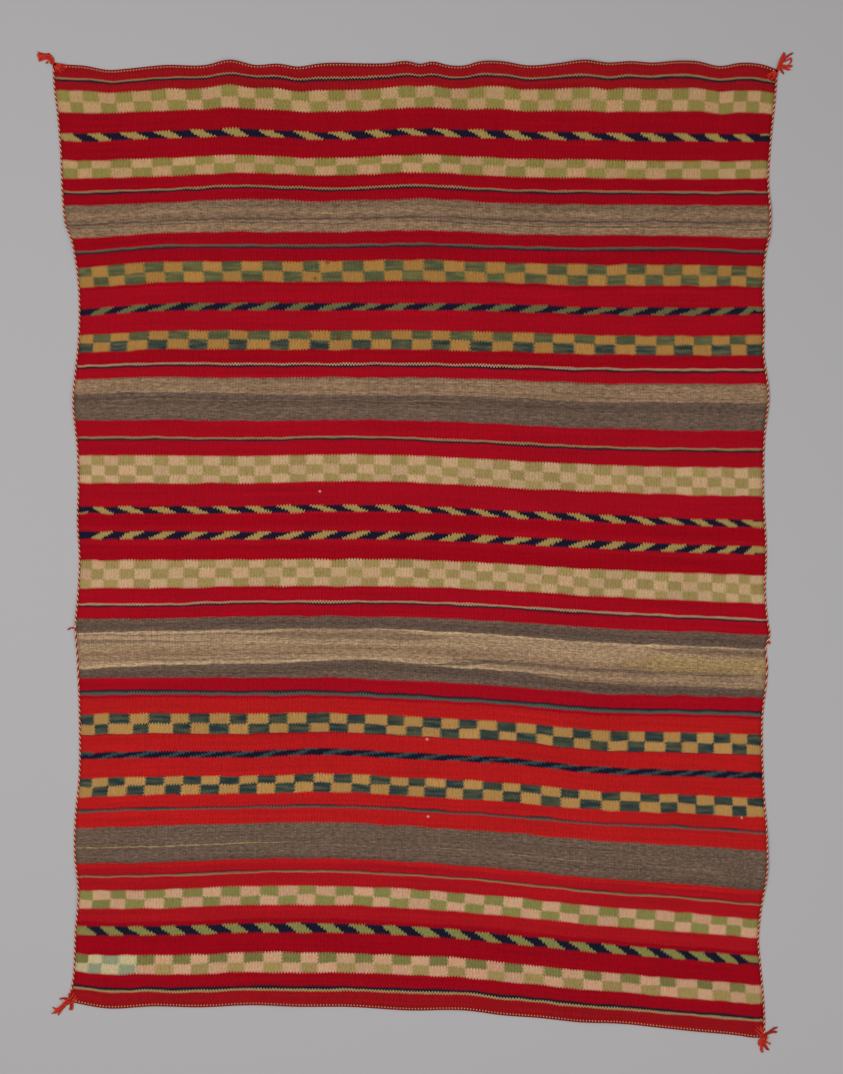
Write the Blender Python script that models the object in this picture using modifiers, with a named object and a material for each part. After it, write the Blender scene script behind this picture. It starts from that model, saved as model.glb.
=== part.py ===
"""A hand-woven wool serape, lying flat and face up.

X runs across the cloth, Y towards its top heading and Z up. The origin is under the middle of the
whole outline, on the surface that the serape lies on. The tables are in millimetres: "across" is
measured from a datum near the left selvage and "down" from one near the top heading.
"""

import math
from collections import namedtuple

import bmesh
import bpy
import numpy as np
from mathutils import Vector

MM = 0.001

CLOTH_THICK = 1.8
SIDE_CORD = 3.0
END_CORD = 2.8
GAP = 0.3

# How far the finished edges, with their cords, wander. The headings are scalloped.
Heading = namedtuple("Heading", "across down")
TOP_HEADING = (
    Heading(0, 8), Heading(66, 11), Heading(112, 19), Heading(152, 16), Heading(218, 9.5),
    Heading(300, 9), Heading(340, 0), Heading(390, 9.5), Heading(435, 7), Heading(469, 12.5),
    Heading(513, 7), Heading(648, 5.5), Heading(678, 2.5), Heading(703, 8), Heading(726, 3),
    Heading(756, 9.5), Heading(787, 10.5), Heading(817, 3), Heading(861, 3), Heading(906, 10),
    Heading(969, 5.5), Heading(1018, 0), Heading(1058, 5), Heading(1104, 2), Heading(1144, 5),
    Heading(1199, 1.5), Heading(1229, 2.5), Heading(1271, 11.5), Heading(1317, 5), Heading(1357, 9.5),
    Heading(1385, 20),
)
BOTTOM_HEADING = (
    Heading(30, 1788), Heading(108, 1802), Heading(201, 1797.5), Heading(274, 1800), Heading(397, 1795.5),
    Heading(481, 1799), Heading(560, 1799), Heading(686, 1806), Heading(796, 1806), Heading(855, 1814.5),
    Heading(927, 1820), Heading(1007, 1828), Heading(1070, 1830), Heading(1178, 1841),
    Heading(1311, 1854), Heading(1341, 1858), Heading(1362, 1856),
)
Selvage = namedtuple("Selvage", "down across")
LEFT_SELVAGE = (
    Selvage(0, 5), Selvage(38, 6), Selvage(99, 13), Selvage(171, 19), Selvage(275, 24),
    Selvage(314, 29), Selvage(342, 40), Selvage(371, 46), Selvage(532, 53), Selvage(589, 47.5),
    Selvage(646, 43), Selvage(741, 51), Selvage(808, 53), Selvage(874, 51), Selvage(950, 55),
    Selvage(1026, 51), Selvage(1074, 47.5), Selvage(1140, 51), Selvage(1254, 55), Selvage(1368, 54),
    Selvage(1434, 47.5), Selvage(1501, 45.5), Selvage(1587, 53), Selvage(1653, 47.5), Selvage(1758, 41),
    Selvage(1795, 33),
)
RIGHT_SELVAGE = (
    Selvage(10, 1384), Selvage(66, 1379.5), Selvage(162, 1370), Selvage(237, 1366),
    Selvage(295, 1370), Selvage(333, 1368), Selvage(361, 1362), Selvage(437, 1356.5),
    Selvage(494, 1358.5), Selvage(541, 1356.5), Selvage(646, 1366), Selvage(703, 1360),
    Selvage(798, 1356.5), Selvage(950, 1362), Selvage(1007, 1360), Selvage(1074, 1366),
    Selvage(1091, 1369), Selvage(1112, 1362), Selvage(1150, 1364), Selvage(1254, 1354.5),
    Selvage(1368, 1356.5), Selvage(1491, 1364), Selvage(1539, 1364), Selvage(1624, 1351),
    Selvage(1672, 1347), Selvage(1720, 1351), Selvage(1814, 1358.5), Selvage(1870, 1358.5),
)

# Soft places where the weave is a little full and stands off the surface.
Swell = namedtuple("Swell", "across down half_width half_length height")
SWELLS = (
    Swell(340, 0, 60, 95, 3.5), Swell(520, 0, 55, 70, 2.0), Swell(690, 0, 55, 80, 2.8),
    Swell(840, 0, 60, 90, 3.2), Swell(1018, 0, 70, 100, 3.5), Swell(1195, 0, 65, 85, 3.0),
    Swell(205, 1800, 65, 80, 2.4), Swell(420, 1798, 80, 90, 3.0), Swell(790, 1808, 70, 80, 2.6),
    Swell(1040, 1830, 80, 95, 3.0), Swell(1240, 1848, 60, 75, 2.4),
    Swell(40, 345, 70, 85, 3.2), Swell(48, 640, 60, 90, 2.4), Swell(50, 1075, 60, 70, 3.0),
    Swell(50, 1580, 60, 85, 2.5), Swell(1366, 300, 65, 90, 3.0), Swell(1364, 640, 60, 80, 2.4),
    Swell(1364, 1510, 65, 100, 2.8), Swell(330, 270, 130, 150, 2.0), Swell(1010, 640, 140, 150, 1.8),
    Swell(1050, 1270, 150, 170, 2.2), Swell(360, 1480, 140, 150, 1.8),
)

# The cloth's own points: one row for each step down, and one column for each step across.
COLUMNS = 52
MIDDLE_ROWS = 36
END_ROW_STEPS = (0, 14, 30, 50, 74, 102, 134)

# The side cords run past the cloth's corners, and the end cords stop just short of them.
CORD_SIDES = 8
SIDE_CORD_PAST = 1.0
END_CORD_SHORT = 0.6

# The knotted head of each corner tassel, a flattened ball.
HEAD_RADIUS = 4.3
HEAD_HALF_HEIGHT = 2.6
HEAD_OUT_ACROSS = 4.2
HEAD_OUT_DOWN = 5.4
HEAD_SEGMENTS = 12
HEAD_RINGS = 8

# The yarn ends of the corner tassels. Heading is in degrees, anticlockwise from straight right.
Lock = namedtuple("Lock", "corner heading spread length yarns thick")
LOCKS = (
    Lock("top_left", 149, 44, 36, 9, 2.2), Lock("top_left", 203, 0, 12, 1, 2.8),
    Lock("top_right", 66, 26, 33, 4, 2.2), Lock("top_right", 41, 12, 40, 2, 2.0),
    Lock("top_right", 2, 34, 27, 4, 2.2), Lock("top_right", 312, 0, 13, 1, 2.6),
    Lock("bottom_left", 217, 26, 37, 5, 2.2), Lock("bottom_left", 163, 24, 21, 3, 2.2),
    Lock("bottom_left", 281, 16, 16, 2, 2.4),
    Lock("bottom_right", 274, 42, 27, 7, 2.2), Lock("bottom_right", 313, 0, 17, 1, 2.6),
    Lock("bottom_right", 30, 26, 27, 4, 2.2),
)
ROOT_WIDTH = 2.6
YARN_SIDES = 4
YARN_ROOT_TAPER = 0.8
YARN_END_TAPER = 0.7
LEVEL_STEP = 0.02
LEAVES_HEAD = 5.5
COMES_DOWN = 12.5
CROSSES_OVER = 17.0
BEND_SHARE = 0.62
LAST_BEND_SHARE = 0.82
UNEVEN_SHARE = 0.16
UNEVEN_STEP = 2.3
CURL = 1.6
CURL_STEP = 1.9
WELD = 0.01
# The same yarns where they are carried back over the cord and stitched down on the cloth's face.
STITCH_HEADINGS = {"top_left": 312, "top_right": 228, "bottom_left": 44, "bottom_right": 132}
STITCH_SPREAD = 36
STITCH_YARNS = 4
STITCH_LENGTH = 27
STITCH_THICK = 1.8
STITCH_STEP = 0.07
STITCH_UNEVEN_SHARE = 0.2
STITCH_UNEVEN_STEP = 1.7
OVER_CORD_START = 3.0
OVER_CORD_END = 13.0
DOWN_ON_CLOTH = 17.0

# The ends of a mended cord: one stands out to the left, one is drawn tight on the right.
TAIL_DOWN = 1080.0
TAIL_LENGTH = 13.0
TAIL_THICK = 3.0
Bend = namedtuple("Bend", "out_share fall rise")
TAIL_BENDS = (Bend(0, 0, 0), Bend(0.3, -1.6, 0.8), Bend(0.65, -0.6, 0.4), Bend(1, 2.6, 0))
TIGHT_KNOT_DOWN = 1107.0
TIGHT_KNOT_HALF = (2.3, 4.4, 2.3)

RED = (0.36, 0.012, 0.016)
GOLD_AND_RED = (0.50, 0.20, 0.09)
TASSEL_RED = (0.45, 0.03, 0.012)


def wool(name, colour):
    """A matt woollen material of one colour."""
    material = bpy.data.materials.new(name)
    material.use_nodes = True
    shader = material.node_tree.nodes["Principled BSDF"]
    shader.inputs["Base Color"].default_value = (*colour, 1)
    shader.inputs["Roughness"].default_value = 0.9
    shader.inputs["Metallic"].default_value = 0
    material.diffuse_color = (*colour, 1)
    return material


def soft_curve(stations, values, at):
    """The value at one place on a soft curve through the stations."""
    slopes = np.gradient(values, stations)
    i = int(np.clip(np.searchsorted(stations, at) - 1, 0, len(stations) - 2))
    span = stations[i + 1] - stations[i]
    t = min(max((at - stations[i]) / span, 0), 1)
    start = values[i] * (1 + 2 * t) + slopes[i] * span * t
    end = values[i + 1] * (3 - 2 * t) + slopes[i + 1] * span * (t - 1)
    return start * (1 - t) ** 2 + end * t**2


def heading_down(rows, across):
    return soft_curve([row.across for row in rows], [row.down for row in rows], across)


def selvage_across(rows, down):
    return soft_curve([row.down for row in rows], [row.across for row in rows], down)


def cloth_corner(heading, selvage, first_guess, inwards):
    """Where the cloth's own edges meet, inside the two cords."""
    across = first_guess.across
    for _ in range(4):
        down = heading_down(heading, across) + inwards.y
        across = selvage_across(selvage, down) + inwards.x
    return Vector((across, down))


SIDE_INSET = SIDE_CORD + GAP
END_INSET = END_CORD + GAP
CORNERS = {
    "top_left": cloth_corner(
        TOP_HEADING, LEFT_SELVAGE, LEFT_SELVAGE[0], Vector((SIDE_INSET, END_INSET))
    ),
    "top_right": cloth_corner(
        TOP_HEADING, RIGHT_SELVAGE, RIGHT_SELVAGE[0], Vector((-SIDE_INSET, END_INSET))
    ),
    "bottom_left": cloth_corner(
        BOTTOM_HEADING, LEFT_SELVAGE, LEFT_SELVAGE[-1], Vector((SIDE_INSET, -END_INSET))
    ),
    "bottom_right": cloth_corner(
        BOTTOM_HEADING, RIGHT_SELVAGE, RIGHT_SELVAGE[-1], Vector((-SIDE_INSET, -END_INSET))
    ),
}


def top_edge(share):
    """A point of the cloth's top edge, inside its cord, at a share of the way to the right."""
    across = CORNERS["top_left"].lerp(CORNERS["top_right"], share).x
    return Vector((across, heading_down(TOP_HEADING, across) + END_INSET))


def bottom_edge(share):
    across = CORNERS["bottom_left"].lerp(CORNERS["bottom_right"], share).x
    return Vector((across, heading_down(BOTTOM_HEADING, across) - END_INSET))


def left_edge(share):
    """A point of the cloth's left edge, inside its cord, at a share of the way down."""
    down = CORNERS["top_left"].lerp(CORNERS["bottom_left"], share).y
    return Vector((selvage_across(LEFT_SELVAGE, down) + SIDE_INSET, down))


def right_edge(share):
    down = CORNERS["top_right"].lerp(CORNERS["bottom_right"], share).y
    return Vector((selvage_across(RIGHT_SELVAGE, down) - SIDE_INSET, down))


def between_edges(over, along):
    """A point inside the four edges, a share over to the right and a share along from the top."""
    ends = top_edge(over).lerp(bottom_edge(over), along)
    sides = left_edge(along).lerp(right_edge(along), over)
    upper = CORNERS["top_left"].lerp(CORNERS["top_right"], over)
    lower = CORNERS["bottom_left"].lerp(CORNERS["bottom_right"], over)
    return ends + sides - upper.lerp(lower, along)


def lift(place):
    """How far the underside stands off the surface. It is exactly zero outside the swells."""
    height = 0.0
    for swell in SWELLS:
        over = (place.x - swell.across) / swell.half_width
        along = (place.y - swell.down) / swell.half_length
        if abs(over) < 1 and abs(along) < 1:
            height += swell.height * (1 - over**2) ** 2 * (1 - along**2) ** 2
    return height


def world(place, height):
    """The tables' across and down, with a height, as metres."""
    return Vector((place.x, -place.y, height)) * MM


def row_shares():
    """Shares of the way down the cloth, closer together near the two headings."""
    length = CORNERS["bottom_left"].y - CORNERS["top_left"].y
    near = np.array(END_ROW_STEPS) / length
    middle = np.linspace(near[-1], 1 - near[-1], MIDDLE_ROWS)
    return [*near[:-1], *middle, *(1 - near[-2::-1])]


def place_in(obj, parent, collection):
    """Puts the object in its collection, where it follows the parent."""
    collection.objects.link(obj)
    obj.parent = parent
    return obj


def add_cloth(parent, collection):
    """One woven sheet: a grid drawn to the four edges, then given its thickness upwards."""
    rows = row_shares()
    bpy.ops.mesh.primitive_grid_add(x_subdivisions=COLUMNS, y_subdivisions=len(rows) - 1, size=1)
    cloth = bpy.context.object
    cloth.name = cloth.data.name = "cloth"
    for vertex in cloth.data.vertices:
        over = vertex.co.x + 0.5
        row = round((0.5 - vertex.co.y) * (len(rows) - 1))
        place = between_edges(over, rows[row])
        vertex.co = world(place, lift(place))
    cloth.data.materials.append(wool("red tapestry wool", RED))
    cloth.data.shade_smooth()
    for holder in cloth.users_collection:
        holder.objects.unlink(cloth)
    thicken = cloth.modifiers.new("thickness", "SOLIDIFY")
    thicken.thickness = CLOTH_THICK * MM
    thicken.offset = 1
    return place_in(cloth, parent, collection)


def beside(edge_points, distance):
    """The edge's points moved outwards, square to the edge, by a distance."""
    moved = []
    for i, point in enumerate(edge_points):
        ahead = edge_points[min(i + 1, len(edge_points) - 1)] - edge_points[max(i - 1, 0)]
        outwards = Vector((-ahead.y, ahead.x)).normalized()
        moved.append(point + outwards * distance)
    return moved


def tube(name, points, thick, sides, material):
    """A yarn or cord with an even number of sides, along points in metres."""
    curve = bpy.data.curves.new(name, "CURVE")
    curve.dimensions = "3D"
    curve.twist_mode = "Z_UP"
    curve.bevel_depth = thick * MM / 2
    curve.bevel_resolution = sides // 2 - 2
    curve.use_fill_caps = True
    spline = curve.splines.new("POLY")
    spline.points.add(len(points) - 1)
    for control, point in zip(spline.points, points):
        control.co = (*point, 1)
    curve.materials.append(material)
    return bpy.data.objects.new(name, curve)


def add_edge_cord(name, edge_points, thick, material, parent, collection):
    """A twisted cord bound along one edge of the cloth, following its lift."""
    centre = beside(edge_points, thick / 2 + GAP)
    points = [
        world(place, thick / 2 + lift(edge)) for place, edge in zip(centre, edge_points)
    ]
    return place_in(tube(name, points, thick, CORD_SIDES, material), parent, collection)


def add_edge_cords(parent, collection):
    """Two side cords that run just past the corners, and two end cords that stop short of them."""
    rows = row_shares()
    past = Vector((0, SIDE_CORD_PAST))
    short = Vector((END_CORD_SHORT, 0))
    columns = [column / COLUMNS for column in range(COLUMNS + 1)]
    left = [left_edge(share) for share in rows]
    left = [left[0] - past, *left, left[-1] + past]
    right = [right_edge(share) for share in rows]
    right = [right[0] - past, *right, right[-1] + past]
    top = [top_edge(share) for share in columns]
    top = [top[0] + short, *top[1:-1], top[-1] - short]
    bottom = [bottom_edge(share) for share in columns]
    bottom = [bottom[0] + short, *bottom[1:-1], bottom[-1] - short]
    for name, edge_points, thick, colour in (
        ("side_cord_left", left, SIDE_CORD, GOLD_AND_RED),
        ("side_cord_right", right[::-1], SIDE_CORD, GOLD_AND_RED),
        ("end_cord_top", top[::-1], END_CORD, RED),
        ("end_cord_bottom", bottom, END_CORD, RED),
    ):
        material = wool(name.replace("_", " ") + " wool", colour)
        add_edge_cord(name, edge_points, thick, material, parent, collection)


def yarn_as_mesh(yarn, graph):
    """A closed mesh of one yarn, for joining to the head it is knotted into."""
    mesh = bpy.data.meshes.new_from_object(yarn.evaluated_get(graph))
    made = bmesh.new()
    made.from_mesh(mesh)
    bmesh.ops.remove_doubles(made, verts=made.verts, dist=WELD * MM)
    made.to_mesh(mesh)
    made.free()
    joined = bpy.data.objects.new(yarn.name, mesh)
    joined.matrix_world = yarn.matrix_world
    bpy.data.objects.remove(yarn)
    joined.hide_render = True
    joined.display_type = "WIRE"
    return joined


def square_yarn(name, points, thick, material):
    """A yarn of four sides with one of them level, so that it lies flat where it rests."""
    yarn = tube(name, points, thick, YARN_SIDES, material)
    controls = yarn.data.splines[0].points
    for control in controls:
        control.tilt = math.pi / YARN_SIDES
    controls[0].radius = YARN_ROOT_TAPER
    controls[-1].radius = YARN_END_TAPER
    return yarn


def flat_half(thick):
    """From a four-sided yarn's middle to its level side."""
    return thick / 2 * math.cos(math.pi / YARN_SIDES)


def free_yarn_points(head, lock, number):
    """From the middle of the head out and down to the surface. Every other yarn comes down later."""
    share = 0 if lock.yarns == 1 else number / (lock.yarns - 1) - 0.5
    heading = math.radians(lock.heading + lock.spread * share)
    length = lock.length * (1 - UNEVEN_SHARE * abs(math.sin(UNEVEN_STEP * number + lock.heading)))
    curl = CURL * math.sin(CURL_STEP * number + lock.length)
    root = ROOT_WIDTH * share
    rest = flat_half(lock.thick) + LEVEL_STEP * number
    above_next = rest * 3 + GAP
    high = number % 2 == 1
    start = above_next if high else rest
    bend = max(length * BEND_SHARE, CROSSES_OVER) if high else length * BEND_SHARE
    points = []
    for out, height in (
        (0.0, HEAD_HALF_HEIGHT), (LEAVES_HEAD, start), (COMES_DOWN, start),
        (bend, rest), (length * LAST_BEND_SHARE, rest), (length, rest),
    ):
        aside = curl * (out / length) ** 2 + root * max(0, 1 - out / HEAD_RADIUS)
        across = head.x + out * math.cos(heading) - aside * math.sin(heading)
        down = head.y - out * math.sin(heading) - aside * math.cos(heading)
        points.append(world(Vector((across, down)), height))
    return points


def stitched_yarn_points(head, heading, number):
    """From the head back over the cord and down onto the cloth's face."""
    share = number / (STITCH_YARNS - 1) - 0.5
    direction = math.radians(heading + STITCH_SPREAD * share)
    length = STITCH_LENGTH * (1 - STITCH_UNEVEN_SHARE * abs(math.sin(STITCH_UNEVEN_STEP * number)))
    clear = GAP + flat_half(STITCH_THICK) + STITCH_STEP * number
    root = ROOT_WIDTH * share
    over_cord = SIDE_CORD + clear
    on_cloth = CLOTH_THICK + clear
    points = []
    for out, height in (
        (0.0, HEAD_HALF_HEIGHT), (OVER_CORD_START, over_cord), (OVER_CORD_END, over_cord),
        (DOWN_ON_CLOTH, on_cloth), (length, on_cloth),
    ):
        aside = root * max(0, 1 - out / HEAD_RADIUS)
        across = head.x + out * math.cos(direction) - aside * math.sin(direction)
        down = head.y - out * math.sin(direction) - aside * math.cos(direction)
        place = Vector((across, down))
        points.append(world(place, height))
    return points


def add_tassel(corner, parent, collection, cutters):
    """A knotted head just off the corner with its yarn ends joined to it."""
    outwards = Vector((
        -1 if corner.endswith("left") else 1,
        -1 if corner.startswith("top") else 1,
    ))
    head_place = CORNERS[corner] + outwards * Vector((HEAD_OUT_ACROSS, HEAD_OUT_DOWN))
    material = wool(corner.replace("_", " ") + " tassel wool", TASSEL_RED)
    bpy.ops.mesh.primitive_uv_sphere_add(
        segments=HEAD_SEGMENTS, ring_count=HEAD_RINGS, radius=HEAD_RADIUS * MM
    )
    head = bpy.context.object
    head.name = head.data.name = "tassel_" + corner
    for vertex in head.data.vertices:
        vertex.co.z *= HEAD_HALF_HEIGHT / HEAD_RADIUS
    head.location = world(head_place, HEAD_HALF_HEIGHT)
    head.data.materials.append(material)
    for holder in head.users_collection:
        holder.objects.unlink(head)
    yarns = bpy.data.collections.new("yarns " + corner)
    yarns.hide_render = True
    cutters.children.link(yarns)
    routes = []
    for lock in LOCKS:
        if lock.corner == corner:
            routes += [
                (free_yarn_points(head_place, lock, number), lock.thick) for number in range(lock.yarns)
            ]
    heading = STITCH_HEADINGS[corner]
    routes += [
        (stitched_yarn_points(head_place, heading, number), STITCH_THICK)
        for number in range(STITCH_YARNS)
    ]
    loose = []
    for number, (points, thick) in enumerate(routes):
        yarn = square_yarn(f"yarn {corner} {number}", points, thick, material)
        yarns.objects.link(yarn)
        loose.append(yarn)
    bpy.context.view_layer.update()
    graph = bpy.context.evaluated_depsgraph_get()
    for yarn in loose:
        place_in(yarn_as_mesh(yarn, graph), parent, yarns)
    union = head.modifiers.new("yarn ends", "BOOLEAN")
    union.operation = "UNION"
    union.operand_type = "COLLECTION"
    union.collection = yarns
    union.solver = "MANIFOLD"
    return place_in(head, parent, collection)


def built_side(edge, down):
    """How far across the cloth's side is at a place down, along the straight steps between its rows."""
    points = [edge(share) for share in row_shares()]
    return np.interp(down, [point.y for point in points], [point.x for point in points])


def add_mend_ends(parent, collection):
    """The two ends of cord left by an old mend, one on each side of the cloth."""
    cord_side = built_side(left_edge, TAIL_DOWN) - SIDE_INSET - GAP
    points = []
    for bend in TAIL_BENDS:
        place = Vector((cord_side - bend.out_share * TAIL_LENGTH, TAIL_DOWN + bend.fall))
        points.append(world(place, TAIL_THICK / 2 + bend.rise))
    material = wool("left mend wool", TASSEL_RED)
    tail = tube("mend_tail_left", points, TAIL_THICK, CORD_SIDES, material)
    place_in(tail, parent, collection)
    bpy.ops.mesh.primitive_uv_sphere_add(segments=HEAD_SEGMENTS, ring_count=HEAD_RINGS, radius=MM)
    knot = bpy.context.object
    knot.name = knot.data.name = "mend_knot_right"
    for vertex in knot.data.vertices:
        vertex.co = Vector(TIGHT_KNOT_HALF) * vertex.co
    cord_side = built_side(right_edge, TIGHT_KNOT_DOWN) + SIDE_INSET
    across = cord_side + 2 * GAP + TIGHT_KNOT_HALF[0]
    knot.location = world(Vector((across, TIGHT_KNOT_DOWN)), TIGHT_KNOT_HALF[2])
    knot.data.materials.append(wool("right mend wool", TASSEL_RED))
    for holder in knot.users_collection:
        holder.objects.unlink(knot)
    place_in(knot, parent, collection)


def centre_over_origin(parent, collection):
    """Moves the parent so that the middle of the whole outline is over the origin."""
    bpy.context.view_layer.update()
    graph = bpy.context.evaluated_depsgraph_get()
    seen = np.array([
        obj.matrix_world @ Vector(vertex.co)
        for obj in collection.objects
        if obj.type != "EMPTY"
        for vertex in obj.evaluated_get(graph).to_mesh().vertices
    ])
    low, high = seen.min(axis=0), seen.max(axis=0)
    parent.location = (-(low[0] + high[0]) / 2, -(low[1] + high[1]) / 2, -low[2])


def main():
    for obj in list(bpy.data.objects):
        bpy.data.objects.remove(obj, do_unlink=True)
    serape = bpy.data.collections.new("serape")
    cutters = bpy.data.collections.new("cutters")
    cutters.hide_render = True
    bpy.context.scene.collection.children.link(serape)
    bpy.context.scene.collection.children.link(cutters)
    parent = bpy.data.objects.new("serape frame", None)
    serape.objects.link(parent)
    add_cloth(parent, serape)
    add_edge_cords(parent, serape)
    for corner in CORNERS:
        add_tassel(corner, parent, serape, cutters)
    add_mend_ends(parent, serape)
    centre_over_origin(parent, serape)


main()
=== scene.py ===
"""The looks of the serape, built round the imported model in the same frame, in metres.

The tables are in millimetres: "across" from a datum near the left selvage and "down" from one near
the top heading. The woven height, in millimetres too, counts the weaving from the top heading down,
and is the same all along a line of weft, wherever that line wanders.
"""

import math
from collections import namedtuple
from types import SimpleNamespace

import bpy
import numpy as np
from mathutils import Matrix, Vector


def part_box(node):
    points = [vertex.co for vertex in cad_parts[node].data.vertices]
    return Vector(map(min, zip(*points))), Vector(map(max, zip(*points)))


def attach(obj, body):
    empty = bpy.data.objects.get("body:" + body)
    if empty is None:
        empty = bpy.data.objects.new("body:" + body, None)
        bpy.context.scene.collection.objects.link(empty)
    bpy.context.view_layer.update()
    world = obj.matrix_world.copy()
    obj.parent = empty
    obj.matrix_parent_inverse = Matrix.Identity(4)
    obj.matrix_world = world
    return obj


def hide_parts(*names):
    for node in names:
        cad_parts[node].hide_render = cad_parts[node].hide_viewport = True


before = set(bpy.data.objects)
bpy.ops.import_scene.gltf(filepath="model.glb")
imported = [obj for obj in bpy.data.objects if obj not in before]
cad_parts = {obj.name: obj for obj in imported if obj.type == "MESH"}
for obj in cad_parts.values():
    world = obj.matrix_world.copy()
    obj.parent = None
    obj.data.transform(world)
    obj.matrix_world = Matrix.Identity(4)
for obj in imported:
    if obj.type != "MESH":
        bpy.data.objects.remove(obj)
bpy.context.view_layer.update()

# The cloth's form. One tapestry sheet in wool, woven between two headings on unbroken warps and
# never cut. The selvages wander, the headings are scalloped, and the weft lines rise and dip
# between them. It lies flat, a little full in places.
MM = 0.001
CLOTH_THICK = 1.8
CORD_GAP = 0.3
SIDE_CORD = 3.0
END_CORD = 2.8
COLUMNS = 150
ROW_STEP = 7.6
WARPS_WIDE = 1310
# Each heading's edge, across and down.
TOP_HEADING = (
    (0, 8), (66, 11), (112, 19), (152, 16), (218, 9.5), (300, 9), (340, 0), (390, 9.5), (435, 7),
    (469, 12.5), (513, 7), (648, 5.5), (678, 2.5), (703, 8), (726, 3), (756, 9.5), (787, 10.5),
    (817, 3), (861, 3), (906, 10), (969, 5.5), (1018, 0), (1058, 5), (1104, 2), (1144, 5),
    (1199, 1.5), (1229, 2.5), (1271, 11.5), (1317, 5), (1357, 9.5), (1385, 20),
)
BOTTOM_HEADING = (
    (30, 1788), (108, 1802), (201, 1797.5), (274, 1800), (397, 1795.5), (481, 1799), (560, 1799),
    (686, 1806), (796, 1806), (855, 1814.5), (927, 1820), (1007, 1828), (1070, 1830), (1178, 1841),
    (1311, 1854), (1341, 1858), (1362, 1856),
)
# Each selvage's edge, down and across.
LEFT_SELVAGE = (
    (0, 5), (38, 6), (99, 13), (171, 19), (275, 24), (314, 29), (342, 40), (371, 46), (532, 53),
    (589, 47.5), (646, 43), (741, 51), (808, 53), (874, 51), (950, 55), (1026, 51), (1074, 47.5),
    (1140, 51), (1254, 55), (1368, 54), (1434, 47.5), (1501, 45.5), (1587, 53), (1653, 47.5),
    (1758, 41), (1795, 33),
)
RIGHT_SELVAGE = (
    (10, 1384), (66, 1379.5), (162, 1370), (237, 1366), (295, 1370), (333, 1368), (361, 1362),
    (437, 1356.5), (494, 1358.5), (541, 1356.5), (646, 1366), (703, 1360), (798, 1356.5),
    (950, 1362), (1007, 1360), (1074, 1366), (1091, 1369), (1112, 1362), (1150, 1364),
    (1254, 1354.5), (1368, 1356.5), (1491, 1364), (1539, 1364), (1624, 1351), (1672, 1347),
    (1720, 1351), (1814, 1358.5), (1870, 1358.5),
)
# How far down each line of weft lies, at nine places across.
LAID_ACROSS = (61, 209, 370, 532, 703, 874, 1026, 1197, 1345)
Laid = namedtuple("Laid", "woven downs")
TOP_WOVEN = 6
BOTTOM_WOVEN = 1816
LAID = (
    Laid(34, (38, 36, 30, 37, 32, 32, 31, 32, 38)),
    Laid(138, (142, 137, 133, 139, 132, 137, 140, 142, 143)),
    Laid(249, (253, 249, 242, 246, 241, 250, 252, 254, 253)),
    Laid(359, (368, 356, 355, 355, 352, 358, 361, 360, 367)),
    Laid(470, (477, 467, 465, 466, 465, 468, 473, 475, 473)),
    Laid(584, (584, 579, 580, 580, 580, 584, 589, 591, 591)),
    Laid(727, (719, 719, 721, 718, 721, 729, 737, 741, 742)),
    Laid(857, (850, 850, 849, 846, 848, 858, 864, 872, 876)),
    Laid(906, (897, 897, 898, 897, 899, 907, 915, 922, 926)),
    Laid(1042, (1036, 1036, 1031, 1031, 1032, 1040, 1050, 1058, 1065)),
    Laid(1214, (1200, 1198, 1200, 1200, 1208, 1218, 1231, 1235, 1239)),
    Laid(1329, (1319, 1316, 1316, 1311, 1320, 1328, 1345, 1351, 1356)),
    Laid(1434, (1426, 1421, 1418, 1416, 1424, 1435, 1448, 1456, 1465)),
    Laid(1562, (1550, 1548, 1541, 1540, 1548, 1562, 1578, 1590, 1604)),
    Laid(1663, (1647, 1647, 1642, 1642, 1649, 1664, 1679, 1693, 1704)),
    Laid(1781, (1761, 1766, 1763, 1764, 1769, 1781, 1796, 1810, 1822)),
)
Swell = namedtuple("Swell", "across down half_width half_length height")
SWELLS = (
    Swell(340, 0, 60, 95, 3.5), Swell(520, 0, 55, 70, 2.0), Swell(690, 0, 55, 80, 2.8),
    Swell(840, 0, 60, 90, 3.2), Swell(1018, 0, 70, 100, 3.5), Swell(1195, 0, 65, 85, 3.0),
    Swell(205, 1800, 65, 80, 2.4), Swell(420, 1798, 80, 90, 3.0), Swell(790, 1808, 70, 80, 2.6),
    Swell(1040, 1830, 80, 95, 3.0), Swell(1240, 1848, 60, 75, 2.4), Swell(40, 345, 70, 85, 3.2),
    Swell(48, 640, 60, 90, 2.4), Swell(50, 1075, 60, 70, 3.0), Swell(50, 1580, 60, 85, 2.5),
    Swell(1366, 300, 65, 90, 3.0), Swell(1364, 640, 60, 80, 2.4), Swell(1364, 1510, 65, 100, 2.8),
    Swell(330, 270, 130, 150, 2.0), Swell(1010, 640, 140, 150, 1.8),
    Swell(1050, 1270, 150, 170, 2.2), Swell(360, 1480, 140, 150, 1.8),
)
# How far into the cloth the headings' scallops are still felt.
SCALLOP_REACH = 60
# The woven heights between which one set of bands ends and the next begins, each in plain red.
ZONE_ENDS = (TOP_WOVEN, 345, 710, 1200, 1550, BOTTOM_WOVEN)
FIRST_GUESS = (60, 1350)


def soft_curve(stations, values, at):
    """Values on a soft curve through the stations, at several places."""
    stations = np.asarray(stations, float)
    values = np.asarray(values, float)
    slopes = np.gradient(values, stations)
    i = np.clip(np.searchsorted(stations, at) - 1, 0, len(stations) - 2)
    span = stations[i + 1] - stations[i]
    t = np.clip((at - stations[i]) / span, 0, 1)
    start = values[i] * (1 + 2 * t) + slopes[i] * span * t
    end = values[i + 1] * (3 - 2 * t) + slopes[i + 1] * span * (t - 1)
    return start * (1 - t) ** 2 + end * t**2


def edge_at(edge, at):
    """Where a heading or selvage lies, at several places along it."""
    return soft_curve(*zip(*edge), at)


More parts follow.
